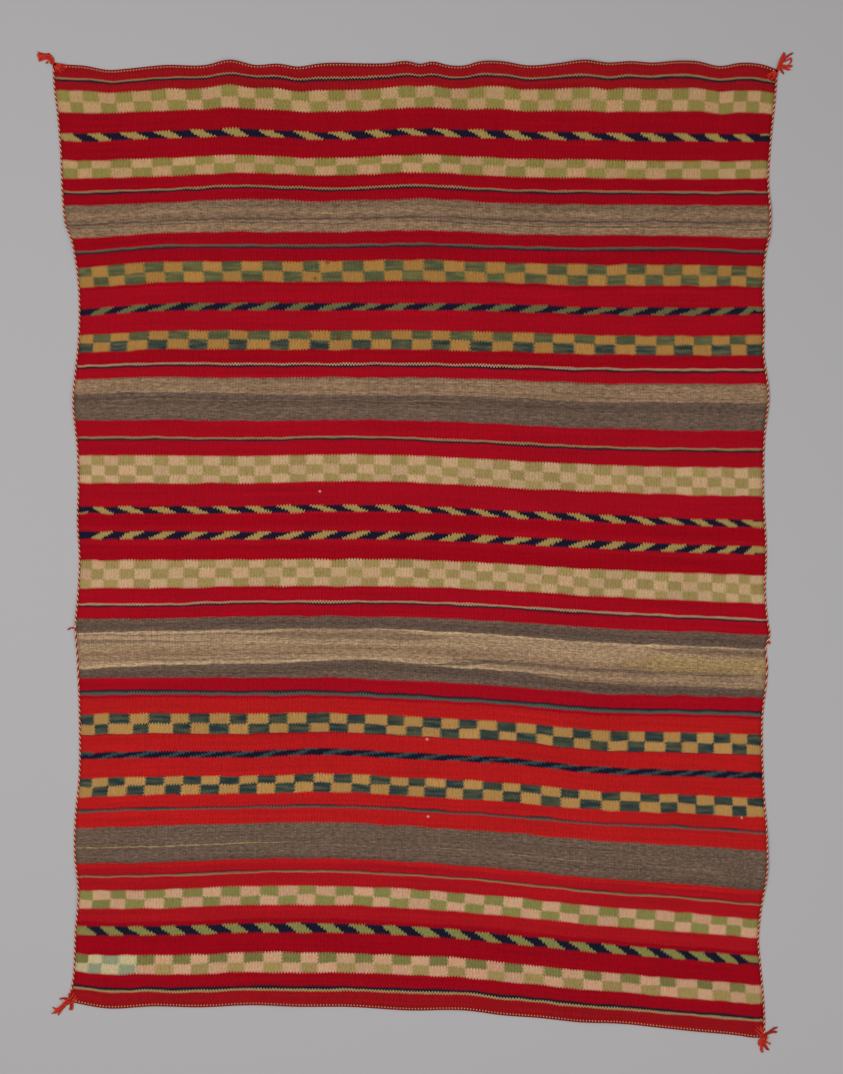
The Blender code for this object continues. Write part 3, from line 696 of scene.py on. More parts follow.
# A streak sinks by its lean for every millimetre across, and lets its share of its colour show.
Streak = namedtuple("Streak", "woven lean start end thick dotted colour share")
BAND_SETS = (
    (
        PinLine(30.5, 2.6, 4.4, 0, LINE_TAN, NAVY),
        Checks(
            55, 76, 97, 96, 43, -0.15, 0, 0, 0.06,
            OLIVE, OLIVE, WARM_CREAM, GREEN_OLIVE, 0.35, 0.4,
        ),
        Diagonal(136, 150.5, 21.42, -0.43, 0.44, 0.75, 0.06, OLIVE_YELLOW, NAVY),
        Checks(
            187.5, 202.5, 223, 221, 36, 0, 0, 1, 0.06,
            OLIVE, OLIVE, WARM_CREAM, GREEN_OLIVE, 0.35, 0.4,
        ),
        PinLine(245.5, 2.6, 4.2, 0, LINE_TAN, NAVY),
        Fleece(272, 331, 0.05, EVEN, (
            Shade(0, GREY_BROWN), Shade(0.15, GREY_BROWN), Shade(0.35, PALE_BROWN),
            Shade(0.5, GREY_BROWN), Shade(0.62, GREY_BROWN), Shade(0.70, PALE_BROWN),
            Shade(1, PALE_BROWN),
        ), (
            Streak(308, -0.003, -90, 1400, 2.6, 0.2, BROWN_BLACK, 0.9),
            Streak(315, -0.002, -90, 560, 2.0, 0.4, BROWN_BLACK, 0.75),
            Streak(313, 0.004, 560, 1400, 2.2, 0.3, BROWN_BLACK, 0.8),
            Streak(299, 0.0, 640, 1400, 1.8, 0.3, DARK_BROWN, 0.5),
        )),
    ),
    (
        PinLine(355, 3.6, 3.2, 0, LINE_GREEN, NAVY),
        Checks(
            387, 406, 428, 425.5, 36, 0.1, 0.1, 0, 0.07,
            GREEN, GREEN, OCHRE, LEAF_GREEN, 0.7, 0.0,
        ),
        Diagonal(466.5, 480, 21.43, 0.55, 0.54, 0.957, 0.10, NAVY, MOSS_GREEN),
        Checks(
            519, 535.5, 557, 554.5, 35, 0.28, -0.08, 1, 0.08,
            GREEN, TEAL, OCHRE, LEAF_GREEN, 0.55, 0.0,
        ),
        PinLine(580.5, 2.5, 4.3, 0, CREAM, NAVY),
        Fleece(608, 691, 0.03, (
            Sag(0, -0.05), Sag(131, -0.085), Sag(262, -0.11), Sag(328, -0.08), Sag(393, 0.0),
            Sag(655, 0.03), Sag(930, 0.0), Sag(1310, 0.0),
        ), (
            Shade(0, GREY_BROWN), Shade(0.08, PALE_BROWN), Shade(0.385, PALE_BROWN),
            Shade(0.41, DARK_BROWN), Shade(0.55, BROWN_BLACK), Shade(0.72, DARK_BROWN),
            Shade(1, DARK_BROWN),
        ), (
            Streak(639, 0.0, -90, 380, 1.8, 0.6, BROWN_BLACK, 0.6),
            Streak(632, 0.004, 250, 1400, 1.6, 0.4, DARK_BROWN, 0.55),
            Streak(622, 0.0, 520, 1400, 1.5, 0.4, DARK_BROWN, 0.4),
            Streak(651, 0.004, 30, 800, 1.8, 0.0, PALE_BROWN, 0.35),
            Streak(662, 0.002, 500, 1300, 1.6, 0.0, GREY_BROWN, 0.4),
        )),
    ),
    (
        PinLine(724, 2.8, 4.0, 0, LINE_TAN, NAVY),
        Checks(
            759.5, 778, 796.5, 811, 42, 0.12, -0.1, 1, 0.06,
            DULL_OLIVE, DULL_OLIVE, CREAM, OLIVE, 0.4, 0.3,
        ),
        Diagonal(856, 869, 22.48, -0.50, 0.44, 0.17, 0.06, OLIVE_YELLOW, NAVY),
        Diagonal(904.5, 919, 22.42, 0.50, 0.55, 0.88, 0.06, NAVY, OLIVE_YELLOW),
        Checks(
            958.5, 974.5, 993, 1010, 44, 0, -0.1, 0, 0.07,
            DULL_OLIVE, DULL_OLIVE, CREAM, OLIVE, 0.4, 0.35,
        ),
        PinLine(1039, 2.6, 4.0, 0, CREAM, NAVY),
        Fleece(1069, 1187, 0.025, (
            Sag(0, 0.11), Sag(131, 0.034), Sag(262, 0.012), Sag(393, -0.01), Sag(524, -0.12),
            Sag(655, -0.066), Sag(812, -0.032), Sag(983, 0.044), Sag(1114, 0.034), Sag(1310, 0.088),
        ), (
            Shade(0, DARK_BROWN), Shade(0.12, BROWN_BLACK), Shade(0.205, DARK_BROWN),
            Shade(0.225, PALE_FLEECE), Shade(0.27, TAN), Shade(0.45, TAN), Shade(0.56, PALE_BROWN),
            Shade(0.70, TAN), Shade(0.755, PALE_FLEECE), Shade(0.79, DARK_BROWN),
            Shade(0.9, BROWN_BLACK), Shade(1, DARK_BROWN),
        ), (
            Streak(1102, 0.0, -90, 420, 2.2, 0.4, DARK_BROWN, 0.7),
            Streak(1113, 0.0, -90, 190, 4.2, 0.2, GREY_BROWN, 0.9),
            Streak(1117, -0.004, -90, 300, 2.4, 0.4, DARK_BROWN, 0.7),
            Streak(1126, -0.006, 20, 420, 1.6, 0.5, GREY_BROWN, 0.7),
            Streak(1142, -0.004, 60, 520, 2.6, 0.0, GREY_BROWN, 0.6),
            Streak(1151, 0.0, -90, 480, 3.5, 0.0, GREY_BROWN, 0.55),
            Streak(1104, 0.004, 330, 700, 12.0, 0.0, GREY_BROWN, 0.8),
            Streak(1095, 0.0, 380, 640, 4.5, 0.0, PALE_BROWN, 0.7),
            Streak(1120, 0.0, 380, 690, 3.0, 0.0, PALE_FLEECE, 0.5),
            Streak(1131, -0.010, 380, 640, 2.0, 0.3, GREY_BROWN, 0.7),
            Streak(1152, 0.006, 740, 1400, 12.0, 0.0, GREY_BROWN, 0.45),
            Streak(1162, 0.010, 840, 1400, 8.0, 0.0, PALE_BROWN, 0.8),
            Streak(1158, -0.10, 630, 840, 5.0, 0.0, DARK_BROWN, 0.85),
            Streak(1143, 0.007, 690, 1300, 5.5, 0.0, DARK_BROWN, 0.85),
            Streak(1157, 0.0, 640, 960, 3.0, 0.0, PALE_FLEECE, 0.75),
            Streak(1105, 0.0, 1050, 1400, 11.0, 0.0, GREY_BROWN, 0.85),
            Streak(1103, 0.006, 1080, 1400, 2.4, 0.2, DARK_BROWN, 0.7),
            Streak(1130, 0.0, 990, 1420, 24.0, 0.0, OLIVE_FLEECE, 0.65),
            Streak(1174, 0.0, 60, 500, 2.0, 0.2, GREY_BROWN, 0.5),
        )),
    ),
    (
        PinLine(1212, 3.6, 5.4, 0, NAVY, TEAL_GREEN),
        Checks(
            1256, 1275, 1296, 1293.5, 37, -0.28, -0.2, 0, 0.11,
            TEAL, TEAL, PALE_OCHRE, TEAL_STREAK, 0.5, 0.0,
        ),
        PinLine(1292.5, 0.1, 1.6, 1, NAVY, NAVY),
        Diagonal(1326, 1338.5, 22.2, 0.82, 0.62, 0.65, 0.16, NAVY, SLATE),
        Checks(
            1374, 1390, 1411, 1409, 37, 0.5, -0.2, 0, 0.1,
            TEAL, TEAL, PALE_OCHRE, TEAL_STREAK, 0.5, 0.0,
        ),
        PinLine(1432, 2.6, 3.6, 0.4, NAVY, TEAL_GREEN),
        Fleece(1468, 1538, 0.08, EVEN, (
            Shade(0, DARK_BROWN), Shade(0.85, DARK_BROWN), Shade(1, BROWN_BLACK),
        ), (
            Streak(1507, 0.0, -90, 420, 2.2, 0.2, LINE_TAN, 0.75),
            Streak(1513, 0.0, 420, 760, 1.4, 0.8, PALE_BROWN, 0.6),
            Streak(1508, 0.004, 640, 1250, 1.8, 0.2, PALE_BROWN, 0.5),
            Streak(1517, 0.0, 780, 1400, 1.8, 0.2, BROWN_BLACK, 0.7),
            Streak(1527, 0.0, 850, 1400, 1.8, 0.0, BROWN_BLACK, 0.6),
            Streak(1485, 0.0, 500, 1400, 2.2, 0.0, BROWN_BLACK, 0.5),
        )),
    ),
    (
        PinLine(1560, 2.6, 2.4, 0.3, NAVY, LINE_TAN),
        Checks(
            1591, 1608.5, 1629, 1626.5, 37, 0.39, -0.22, 0, 0.06,
            GREEN_OLIVE, GREEN_OLIVE, PINK_CREAM, OLIVE, 0.4, 0.5,
        ),
        Diagonal(1661.5, 1678.5, 22.71, -0.43, 0.5, 0.29, 0.05, NAVY, GREEN_OLIVE),
        Checks(
            1716, 1733, 1754, 1751.5, 38, 0.65, -0.1, 0, 0.07,
            FIELD_GREEN, DULL_OLIVE, PINK_CREAM, OLIVE, 0.3, 0.7, 134,
        ),
        PinLine(1776.5, 5.4, 4.4, 0, NAVY, LINE_TAN),
    ),
)
# Old brown drips on the ochre checks of the second set, a few specks of white lint, and three worn
# places where the fleece has gone grey.
STAIN_BROWN = dye(84, 42, 26)
LINT_WHITE = dye(205, 180, 160)
WORN_GREY = dye(120, 121, 122)
Spot = namedtuple("Spot", "across woven wide share colour")
SPOTS = (
    Spot(453, 419, 5, 0.85, STAIN_BROWN), Spot(477, 389, 6, 0.85, STAIN_BROWN),
    Spot(444, 528, 6, 0.85, STAIN_BROWN), Spot(495, 533, 7, 0.85, STAIN_BROWN),
    Spot(461, 830, 3, 0.85, LINT_WHITE), Spot(656, 1298, 3.4, 0.85, LINT_WHITE),
    Spot(658, 1447, 3.2, 0.85, LINT_WHITE), Spot(1256, 1411, 3.4, 0.85, LINT_WHITE),
    Spot(640, 306, 26, 0.6, WORN_GREY), Spot(668, 309, 24, 0.7, WORN_GREY),
    Spot(576, 625, 26, 0.55, WORN_GREY),
)
SEED_STEP = 2.7
CLOTH_SPECKLE = 1.05
WEAVE_DEEP = 0.0005
# In the valleys of the weave, and on its ribs.
WEAVE_ROUGH = (0.98, 0.86)


def placed(effect, **values):
    """One use of an effect, with its own values. Gives its results under their sockets' names."""
    tree = tree_of(values.values())
    node = tree.nodes.new("ShaderNodeGroup")
    node.node_tree = effect.group
    for name, given in values.items():
        feed(node.inputs[name.replace("_", " ").capitalize()], given)
    results = {out.name.lower().replace(" ", "_"): Value(tree, out) for out in node.outputs}
    return SimpleNamespace(**results)


def new_finish(name, even_values):
    """A new material and its shader, with the values that are the same all over."""
    material = bpy.data.materials.new(name)
    material.use_nodes = True
    shader = material.node_tree.nodes["Principled BSDF"]
    for socket, value in even_values.items():
        shader.inputs[socket].default_value = value
    return material, shader


def attribute(tree, name):
    node = tree.nodes.new("ShaderNodeAttribute")
    node.attribute_name = name
    return Value(tree, node.outputs["Vector"])


def bumped(relief, distance):
    """The normals of a surface in relief, its full height in metres."""
    return step("Bump", {"Height": relief, "Strength": 0.5, "Distance": distance})


def fleeced(band, seed, across, height, even):
    """A brown band: its shades from edge to edge, its streaks, and the heathering over both."""
    middle = [(at / WARPS_WIDE, (*(0.5 + low,) * 3, 1)) for at, low in band.sags]
    sag = ramp(across / WARPS_WIDE, middle, "B_SPLINE") - 0.5
    values = {"top": band.top, "bottom": band.bottom, "wedge": band.wedge, "sag": sag}
    made = placed(
        fleece_band, across=across, height=height, even_height=even, seed=seed, **values
    )
    made.colour = ramp(made.place, band.shades)
    for streak in band.streaks:
        line = streak._asdict()
        shade, share = line.pop("colour"), line.pop("share")
        drawn = placed(fleece_streak, across=across, height=even, **line)
        made.colour = mixed(drawn.mask * share, made.colour, shade)
    made.colour = shaded(made.colour, made.heather)
    return made


def woven_material(name, bands):
    """The cloth's surface over one set of bands: its ground, each band on it, wear and weave."""
    even_values = {"Specular IOR Level": 0.08, "Sheen Weight": 0.02, "Sheen Roughness": 0.5}
    material, shader = new_finish(name, even_values)
    woven = attribute(material.node_tree, "woven")
    lines = placed(weft_lines, woven=woven)
    here = {"across": lines.across, "height": lines.height}
    colour = placed(red_ground, **here).colour
    for number, band in enumerate(bands):
        seed = number * SEED_STEP + band.top
        if isinstance(band, Checks):
            made = placed(checks, seed=seed, blush=BLUSH, **here, **band._asdict())
        elif isinstance(band, Diagonal):
            made = placed(diagonal, seed=seed, **here, **band._asdict())
        elif isinstance(band, PinLine):
            made = placed(pin_lines, **here, **band._asdict())
        else:
            made = fleeced(band, number * SEED_STEP, even=lines.even_height, **here)
        colour = mixed(made.mask, colour, made.colour)
    for spot in SPOTS:
        if bands[0].top <= spot.woven <= bands[-1].top:
            middle = (spot.across, spot.woven, 0)
            far = step("VectorMath", {0: woven, 1: middle}, out="Value", operation="DISTANCE")
            colour = mixed(spread(far, 0.0, spot.wide, spot.share, 0.0), colour, spot.colour)
    toned = placed(wool_tone, colour=colour, speckle=CLOTH_SPECKLE, **here)
    relief = placed(weave_relief, woven=woven).relief
    feed(shader.inputs["Base Color"], toned.colour)
    feed(shader.inputs["Normal"], bumped(relief, WEAVE_DEEP))
    feed(shader.inputs["Roughness"], spread(relief, 0.4, 1.6, *WEAVE_ROUGH))
    return material


for number, bands in enumerate(BAND_SETS):
    cloth.data.materials.append(woven_material(f"tapestry wool {number + 1}", bands))


# The side cords. Three plies, two red and one gold, twined along each selvage as it was woven, so
# that the gold shows as short dashes. They lean one way on the left and the other way on the
# right. Below an old mend on each side the wraps are wider apart.
PLY_THICK = 1.75
SIDE_TURN = 10.2
# How far apart the stations along the cord are.
SIDE_APART = 0.85
# How far out the plies lie, as a share of the cord's thickness less their own.
PLY_OUT = 0.62
Twist = namedtuple("Twist", "down turn")
LEFT_TWISTS = (
    Twist(-50, SIDE_TURN), Twist(1068, SIDE_TURN), Twist(1078, -15), Twist(1190, -15),
    Twist(1200, SIDE_TURN), Twist(2000, SIDE_TURN),
)
RIGHT_TWISTS = (
    Twist(-50, -SIDE_TURN), Twist(268, -SIDE_TURN), Twist(276, -12), Twist(334, -12),
    Twist(342, -SIDE_TURN), Twist(1098, -SIDE_TURN), Twist(1108, -16), Twist(1192, -16),
    Twist(1202, -SIDE_TURN), Twist(2000, -SIDE_TURN),
)


def reached(points):
    """The distance along a line to each of its points."""
    return np.concatenate([[0], np.cumsum(np.linalg.norm(np.diff(points, axis=0), axis=1))])


def evenly(points, apart):
    """Points along a line an even distance apart, with the distance along it to each."""
    lengths = reached(points)
    count = max(int(lengths[-1] / apart), 2)
    at = np.linspace(0, lengths[-1], count + 1)
    return np.stack([np.interp(at, lengths, part) for part in points.T], axis=-1), at


def square_out(edge):
    """The way outwards, square to an edge, at each of its points in the tables' terms."""
    ahead = np.gradient(edge, axis=0)
    out = np.stack([-ahead[:, 1], ahead[:, 0]], axis=-1)
    return out / np.linalg.norm(out, axis=1, keepdims=True)


def beside(edge, distance):
    """An edge's points in the tables' terms, moved outwards, square to the edge."""
    return edge + square_out(edge) * distance


def round_line(points):
    """The ways aside and above at each point of a line in the frame, both square to it."""
    ahead = np.gradient(points, axis=0)
    ahead /= np.linalg.norm(ahead, axis=1, keepdims=True) + 1e-12
    aside = np.cross(ahead, [0, 0, 1.0])
    aside /= np.linalg.norm(aside, axis=1, keepdims=True) + 1e-12
    return aside, np.cross(aside, ahead)


def yarn_tube(points, thick, tapers=(1.0, 1.0), sides=6):
    """One yarn's points, faces and places (along, around) from its own line, in metres."""
    aside, above = round_line(points)
    count = len(points)
    radius = np.full(count, thick * MM / 2)
    radius[[0, -1]] *= tapers
    turn = np.linspace(0, 2 * np.pi, sides, endpoint=False)
    ring = aside[:, None] * np.cos(turn)[:, None] + above[:, None] * np.sin(turn)[:, None]
    skin = points[:, None] + ring * radius[:, None, None]
    number = np.arange(count * sides).reshape(count, sides)
    after = np.roll(number, -1, axis=1)
    faces = np.stack([number[:-1], after[:-1], after[1:], number[1:]], axis=-1).reshape(-1, 4)
    for tip, order in ((number[0], 1), (number[-1], -1)):
        for i in range(sides // 2 - 1):
            cap = [tip[i], tip[-1 - i], tip[-2 - i], tip[i + 1]]
            faces = np.concatenate([faces, [cap[::order]]])
    spun = np.zeros((count, sides, 3))
    spun[..., 0] = reached(points)[:, None] / MM
    spun[..., 1] = turn
    return skin.reshape(-1, 3), faces, spun.reshape(-1, 3)


def yarn_piece(name, tubes, materials):
    """Several yarns as one joined piece. Each tube comes with the number of its material."""
    points, faces, spun, finishes = [], [], [], []
    total = 0
    for (skin, tube_faces, tube_spun), material in tubes:
        points.append(skin)
        faces.append(tube_faces + total)
        spun.append(tube_spun + np.array([0, 0, len(points)]))
        finishes.append(np.full(len(tube_faces), material, np.int32))
        total += len(skin)
    piece = mesh_piece(name, np.concatenate(points), np.concatenate(faces))
    spun_attribute = piece.data.attributes.new("spun", "FLOAT_VECTOR", "POINT")
    spun_attribute.data.foreach_set("vector", np.concatenate(spun).astype(np.float32).ravel())
    piece.data.polygons.foreach_set("material_index", np.concatenate(finishes))
    for material in materials:
        piece.data.materials.append(material)
    return piece


FIBRE_TWIST = 2.4
FIBRES_ROUND = 3.0
LOOSE_FIBRE_SCALE = (0.7, 3.1)
FIBRE_GROOVE_SHADE = 0.16
LOOSE_TONE = 0.55
DARKEST_TONE = 0.64
LOOSE_RELIEF = 0.8
YARN_DEEP = 0.0003
spun_yarn = Effect("spun yarn", {"Vector": "Spun", "Float": "Twist"}, {"Float": "Shade, Relief"})
along, around, own_yarn = parts_of(spun_yarn.spun)
# The yarn's shade is painted: darker in the grooves of the twist and among the loose fibres, just
# where its relief dips.
fibre_turn = (along * spun_yarn.twist + around) * FIBRES_ROUND
fibres = reckon("SINE", fibre_turn) * 0.5 + 0.5
loose = point(along * LOOSE_FIBRE_SCALE[0], around, own_yarn * LOOSE_FIBRE_SCALE[1])
loose = noise(loose, 3.0)
spun_yarn.give(
    shade=fibres * FIBRE_GROOVE_SHADE + loose * LOOSE_TONE + DARKEST_TONE,
    relief=loose * LOOSE_RELIEF + fibres,
)


def yarn_wool(name, colour):
    """Loosely spun wool of one dye, its fibres wound round the yarn, with painted groove shade."""
    even_values = {"Roughness": 0.92, "Specular IOR Level": 0.12, "Sheen Weight": 0.03}
    material, shader = new_finish(name, even_values)
    spun = attribute(material.node_tree, "spun")
    yarn = placed(spun_yarn, spun=spun, twist=FIBRE_TWIST)
    feed(shader.inputs["Base Color"], shaded(colour, yarn.shade))
    feed(shader.inputs["Normal"], bumped(yarn.relief, YARN_DEEP))
    return material


CORD_RED = yarn_wool("cord red wool", dye(156, 18, 26))
CORD_GOLD = yarn_wool("cord gold wool", dye(222, 190, 146))


def twined_cord(name, centre, twists, thick, ply_thick, apart, materials):
    """Plies wound round a cord's centre line, which is given across, down and up in millimetres."""
    line, at = evenly(centre, apart)
    turn = np.interp(line[:, 1], *zip(*twists))
    angle = np.concatenate([[0], np.cumsum(2 * np.pi / turn[1:] * np.diff(at))])
    points = place(*line.T)
    aside, above = round_line(points)
    out = (thick - ply_thick) * PLY_OUT * MM
    tubes = []
    for ply in range(len(materials)):
        at_angle = angle + 2 * np.pi * ply / len(materials)
        offset = aside * np.cos(at_angle)[:, None] + above * np.sin(at_angle)[:, None]
        tubes.append((yarn_tube(points + offset * out, ply_thick), ply))
    return yarn_piece(name, tubes, materials)


def edge_centre(edge, thick):
    """A bound cord's centre line beside an edge of the cloth."""
    centre = beside(edge, thick / 2 + CORD_GAP)
    return np.column_stack([centre, lift(*edge.T) + thick / 2])


def run_on(centre, past):
    """A cord's centre line, run on level a little past both its ends."""
    ends = []
    for tip, before in ((centre[0], centre[1]), (centre[-1], centre[-2])):
        ahead = (tip - before) * (1, 1, 0)
        ends.append(tip + ahead / np.linalg.norm(ahead) * past)
    return np.concatenate([ends[:1], centre, ends[1:]])


left_edge = np.stack([across_grid[:, 0], down_grid[:, 0]], axis=-1)
right_edge = np.stack([across_grid[::-1, -1], down_grid[::-1, -1]], axis=-1)
for side, edge, twists, plies in (
    ("left", left_edge, LEFT_TWISTS, (CORD_RED, CORD_GOLD, CORD_RED)),
    ("right", right_edge, RIGHT_TWISTS, (CORD_GOLD, CORD_RED, CORD_RED)),
):
    centre = run_on(edge_centre(edge, SIDE_CORD), 1.0)
    name = side + "_side_cord"
    side_cord = twined_cord(name, centre, twists, SIDE_CORD, PLY_THICK, SIDE_APART, plies)
    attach(side_cord, "root")
    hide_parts("side_cord_" + side)


# The end cords. Three red yarns twined through the warps' ends along each heading. The warp loops
# that they catch show just inside as a row of small gold dots.
END_TURN = 8.4
END_PLY_THICK = 1.4
END_APART = 1.0
LOOP_STEP = 5.8
LOOP_THICK = 1.9
LOOP_INSIDE = 1.9
LOOP_OUTSIDE = 0.3
# A loop's way, by the share of it that is done and the height over the cloth's face.
LOOP_ARC = ((0, -0.3), (0.35, 0.35), (0.7, 0.55), (1.0, 0.1))
CORD_DARK_RED = yarn_wool("heading red wool", dye(136, 10, 20))
CORD_BRIGHT_RED = yarn_wool("heading bright wool", dye(148, 18, 26))
WARP_GOLD = yarn_wool("warp loop wool", dye(228, 184, 124))
END_PLIES = (CORD_DARK_RED, CORD_BRIGHT_RED, CORD_DARK_RED)
END_TWISTS = (Twist(-50, END_TURN), Twist(2000, END_TURN))
top_edge = np.stack([across_grid[0, ::-1], down_grid[0, ::-1]], axis=-1)
bottom_edge = np.stack([across_grid[-1], down_grid[-1]], axis=-1)
heading_pieces = []
for name, edge, node in (
    ("top_heading_cord", top_edge, "end_cord_top"),
    ("bottom_heading_cord", bottom_edge, "end_cord_bottom"),
):
    centre = edge_centre(edge, END_CORD)
    heading_cord = twined_cord(
        name, centre, END_TWISTS, END_CORD, END_PLY_THICK, END_APART, END_PLIES
    )
    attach(heading_cord, "root")
    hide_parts(node)
    inner, _ = evenly(beside(edge, -LOOP_INSIDE), LOOP_STEP)
    outer, _ = evenly(beside(edge, LOOP_OUTSIDE), LOOP_STEP)
    loops = []
    for start, end in zip(inner[1:-1], outer[1:-1]):
        face = lift(*start) + CLOTH_THICK
        arc = [place(*(start + (end - start) * share), face + up) for share, up in LOOP_ARC]
        loops.append((yarn_tube(np.array(arc), LOOP_THICK, (0.8, 0.8), 4), 0))
    loop_piece = yarn_piece(name.replace("cord", "loops"), loops, [WARP_GOLD])
    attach(loop_piece, "root")
    heading_pieces += [heading_cord, loop_piece]


# The corner tassels. The ends of the cords are knotted at each corner with some loose orange-red
# yarn, and a few of the yarns are stitched back over the corner of the cloth. They lie where they
# fell, some twisted and some frayed.
HEAD_OUT_ACROSS = 4.2
HEAD_OUT_DOWN = 5.4
HEAD_HIGH = 2.6
KNOT_LONG = 3.6 * 0.62
KNOT_SHORT = 0.9
KNOT_HIGH = 2.3
KNOT_RISE = 1.3
KNOT_LAYER = 0.25
KNOT_TILTS = (0.0, 0.9, 1.9)
KNOT_YARN = 1.9
TASSEL_YARN = 2.1
YARN_STATIONS = 20
YARN_REST = TASSEL_YARN / 2
YARN_WAVE = 0.5
# How wide a lock is at the knot, in yarns for the root of their number, and how flat at its end.
BUNDLED = 0.45
FLATTENED = 0.75
# Least and most, as shares of a yarn's usual thickness.
YARN_THICKS = (0.85, 1.1)
# How much of its thickness a yarn keeps at its start and its end.
FRAYED_END = (1.0, 0.35)
CUT_END = (1.0, 0.6)
CREAM_THICK = 1.5
CREAM_STATIONS = 22
SEWN_THICK = TASSEL_YARN * 1.25
SEWN_BOW = 1.6
OVER_CORD = SIDE_CORD + CORD_GAP + YARN_REST
ON_CLOTH = CLOTH_THICK + CORD_GAP + YARN_REST
IN_CLOTH = 1.6
TASSEL_WOOL = yarn_wool("tassel orange red wool", dye(190, 48, 30))
TASSEL_DARK = yarn_wool("tassel dark wool", dye(146, 30, 26))
TASSEL_CREAM = yarn_wool("tassel cream wool", dye(204, 164, 120))
# A lock's way from the knot, in the tables' terms, with its yarns, its width at the end, how far
# it is twisted in turns, and the share of its yarns that are dark.
Lock = namedtuple("Lock", "way yarns wide twist dark")
FREE_LOCKS = {
    "top_left": (
        Lock(((1, -4), (-4, -8), (-14, -10), (-25, -12)), 14, 8, 0.35, 0.3),
        Lock(((2, -4), (-4, -7), (-14, -7), (-24, -7)), 10, 6, 0.3, 0.3),
        Lock(((-1, -1), (-7, -4), (-14, -2), (-22, 1)), 12, 7, 0.4, 0.4),
        Lock(((5, -1), (1, -6), (-6, -12)), 9, 6, 0.2, 0.2),
        Lock(((-1, 2), (-5, 5), (-7, 8)), 3, 3, 0.2, 1.0),
    ),
    "top_right": (
        Lock(((1387, 7), (1390, 0), (1393, -6), (1396, -14)), 14, 6, 0.3, 0.2),
        Lock(((1388, 4), (1391, -3), (1391, -9)), 5, 3, 0.3, 0.3),
        Lock(((1390, 3), (1397, -4), (1404, -9), (1413, -14)), 4, 1.5, 0.6, 0.3),
        Lock(((1390, 6), (1400, 1), (1408, -3), (1408, 3), (1403, 11)), 3, 1.5, 0.6, 0.2),
        Lock(((1390, 12), (1399, 12), (1411, 12)), 7, 5, 0.3, 0.2),
        Lock(((1389, 14), (1398, 17), (1407, 20)), 7, 5, 0.3, 0.3),
        Lock(((1386, 17), (1391, 23), (1394, 27)), 6, 3, 0.2, 0.6),
    ),
    "bottom_left": (
        Lock(((32, 1790), (25, 1797), (16, 1804), (8, 1811)), 11, 6, 0.5, 0.3),
        Lock(((31, 1790), (23, 1797), (12, 1803), (3, 1799)), 6, 3, 0.4, 0.5),
        Lock(((32, 1791), (24, 1799), (14, 1806), (3, 1812)), 7, 4, 0.4, 0.3),
        Lock(((32, 1792), (25, 1800), (19, 1808), (15, 1815)), 6, 3, 0.3, 0.3),
        Lock(((33, 1785), (26, 1783), (18, 1784)), 6, 4, 0.3, 0.8),
        Lock(((40, 1790), (41, 1797), (40, 1806)), 9, 6, 0.2, 0.4),
    ),
    "bottom_right": (
        Lock(((1350, 1862), (1347, 1868), (1346, 1874)), 7, 5, 0.3, 0.4),
        Lock(((1352, 1862), (1352, 1872), (1352, 1880), (1353, 1886)), 12, 8, 0.3, 0.3),
        Lock(((1354, 1862), (1358, 1870), (1362, 1877), (1366, 1882)), 10, 6, 0.3, 0.3),
        Lock(((1355, 1860), (1361, 1865), (1369, 1870)), 7, 5, 0.2, 0.3),
        Lock(((1358, 1853), (1366, 1847), (1374, 1841), (1382, 1837)), 8, 4, 0.4, 0.4),
        Lock(((1360, 1852), (1368, 1848), (1382, 1847)), 7, 4, 0.4, 0.5),
    ),
}
# Cream cord ends that stick out between the locks.
CREAM_ENDS = {
    "top_left": (((0, 0), (-3, 3), (-5, 0), (-7, 4)), ((1, 1), (-1, 6), (-3, 5))),
    "top_right": (((1384, 11), (1386, 7), (1390, 8)),),
    "bottom_left": (((31, 1789), (26, 1788), (21, 1787)),),
    "bottom_right": (((1359, 1853), (1365, 1857), (1361, 1862), (1366, 1866), (1360, 1870)),),
}
# And these yarns are stitched down on the cloth's face.
SEWN_YARNS = {
    "top_left": (
        (33, 10), (29, 9), (30, 16), (24, 12), (27, 20), (21, 24), (23, 16), (16, 24), (12, 22),
        (18, 20), (31, 13), (25, 22), (20, 18), (14, 19),
    ),
    "top_right": (
        (1362, 30), (1364, 35), (1368, 39), (1372, 41), (1376, 36), (1368, 27), (1373, 30),
        (1379, 37), (1375, 24), (1380, 29),
    ),
    "bottom_left": (
        (46, 1772), (50, 1777), (54, 1783), (41, 1770), (49, 1786), (44, 1778), (37, 1772),
        (47, 1781),
    ),
    "bottom_right": (
        (1340, 1842), (1343, 1837), (1349, 1834), (1338, 1847), (1347, 1841), (1352, 1838),
        (1343, 1850),
    ),
}
CORNER_PLACES = {
    "top_left": (left_edge[0], (-1, -1)),
    "top_right": (right_edge[-1], (1, -1)),
    "bottom_left": (left_edge[-1], (-1, 1)),
    "bottom_right": (right_edge[0], (1, 1)),
}


def smooth_way(points, count):
    """Many points on a soft line through a few, with how far along the line each of them is."""
    points = np.asarray(points, float)
    lengths = reached(points)
    at = np.linspace(0, lengths[-1], count)
    return np.stack([soft_curve(lengths, part, at) for part in points.T], axis=-1), at


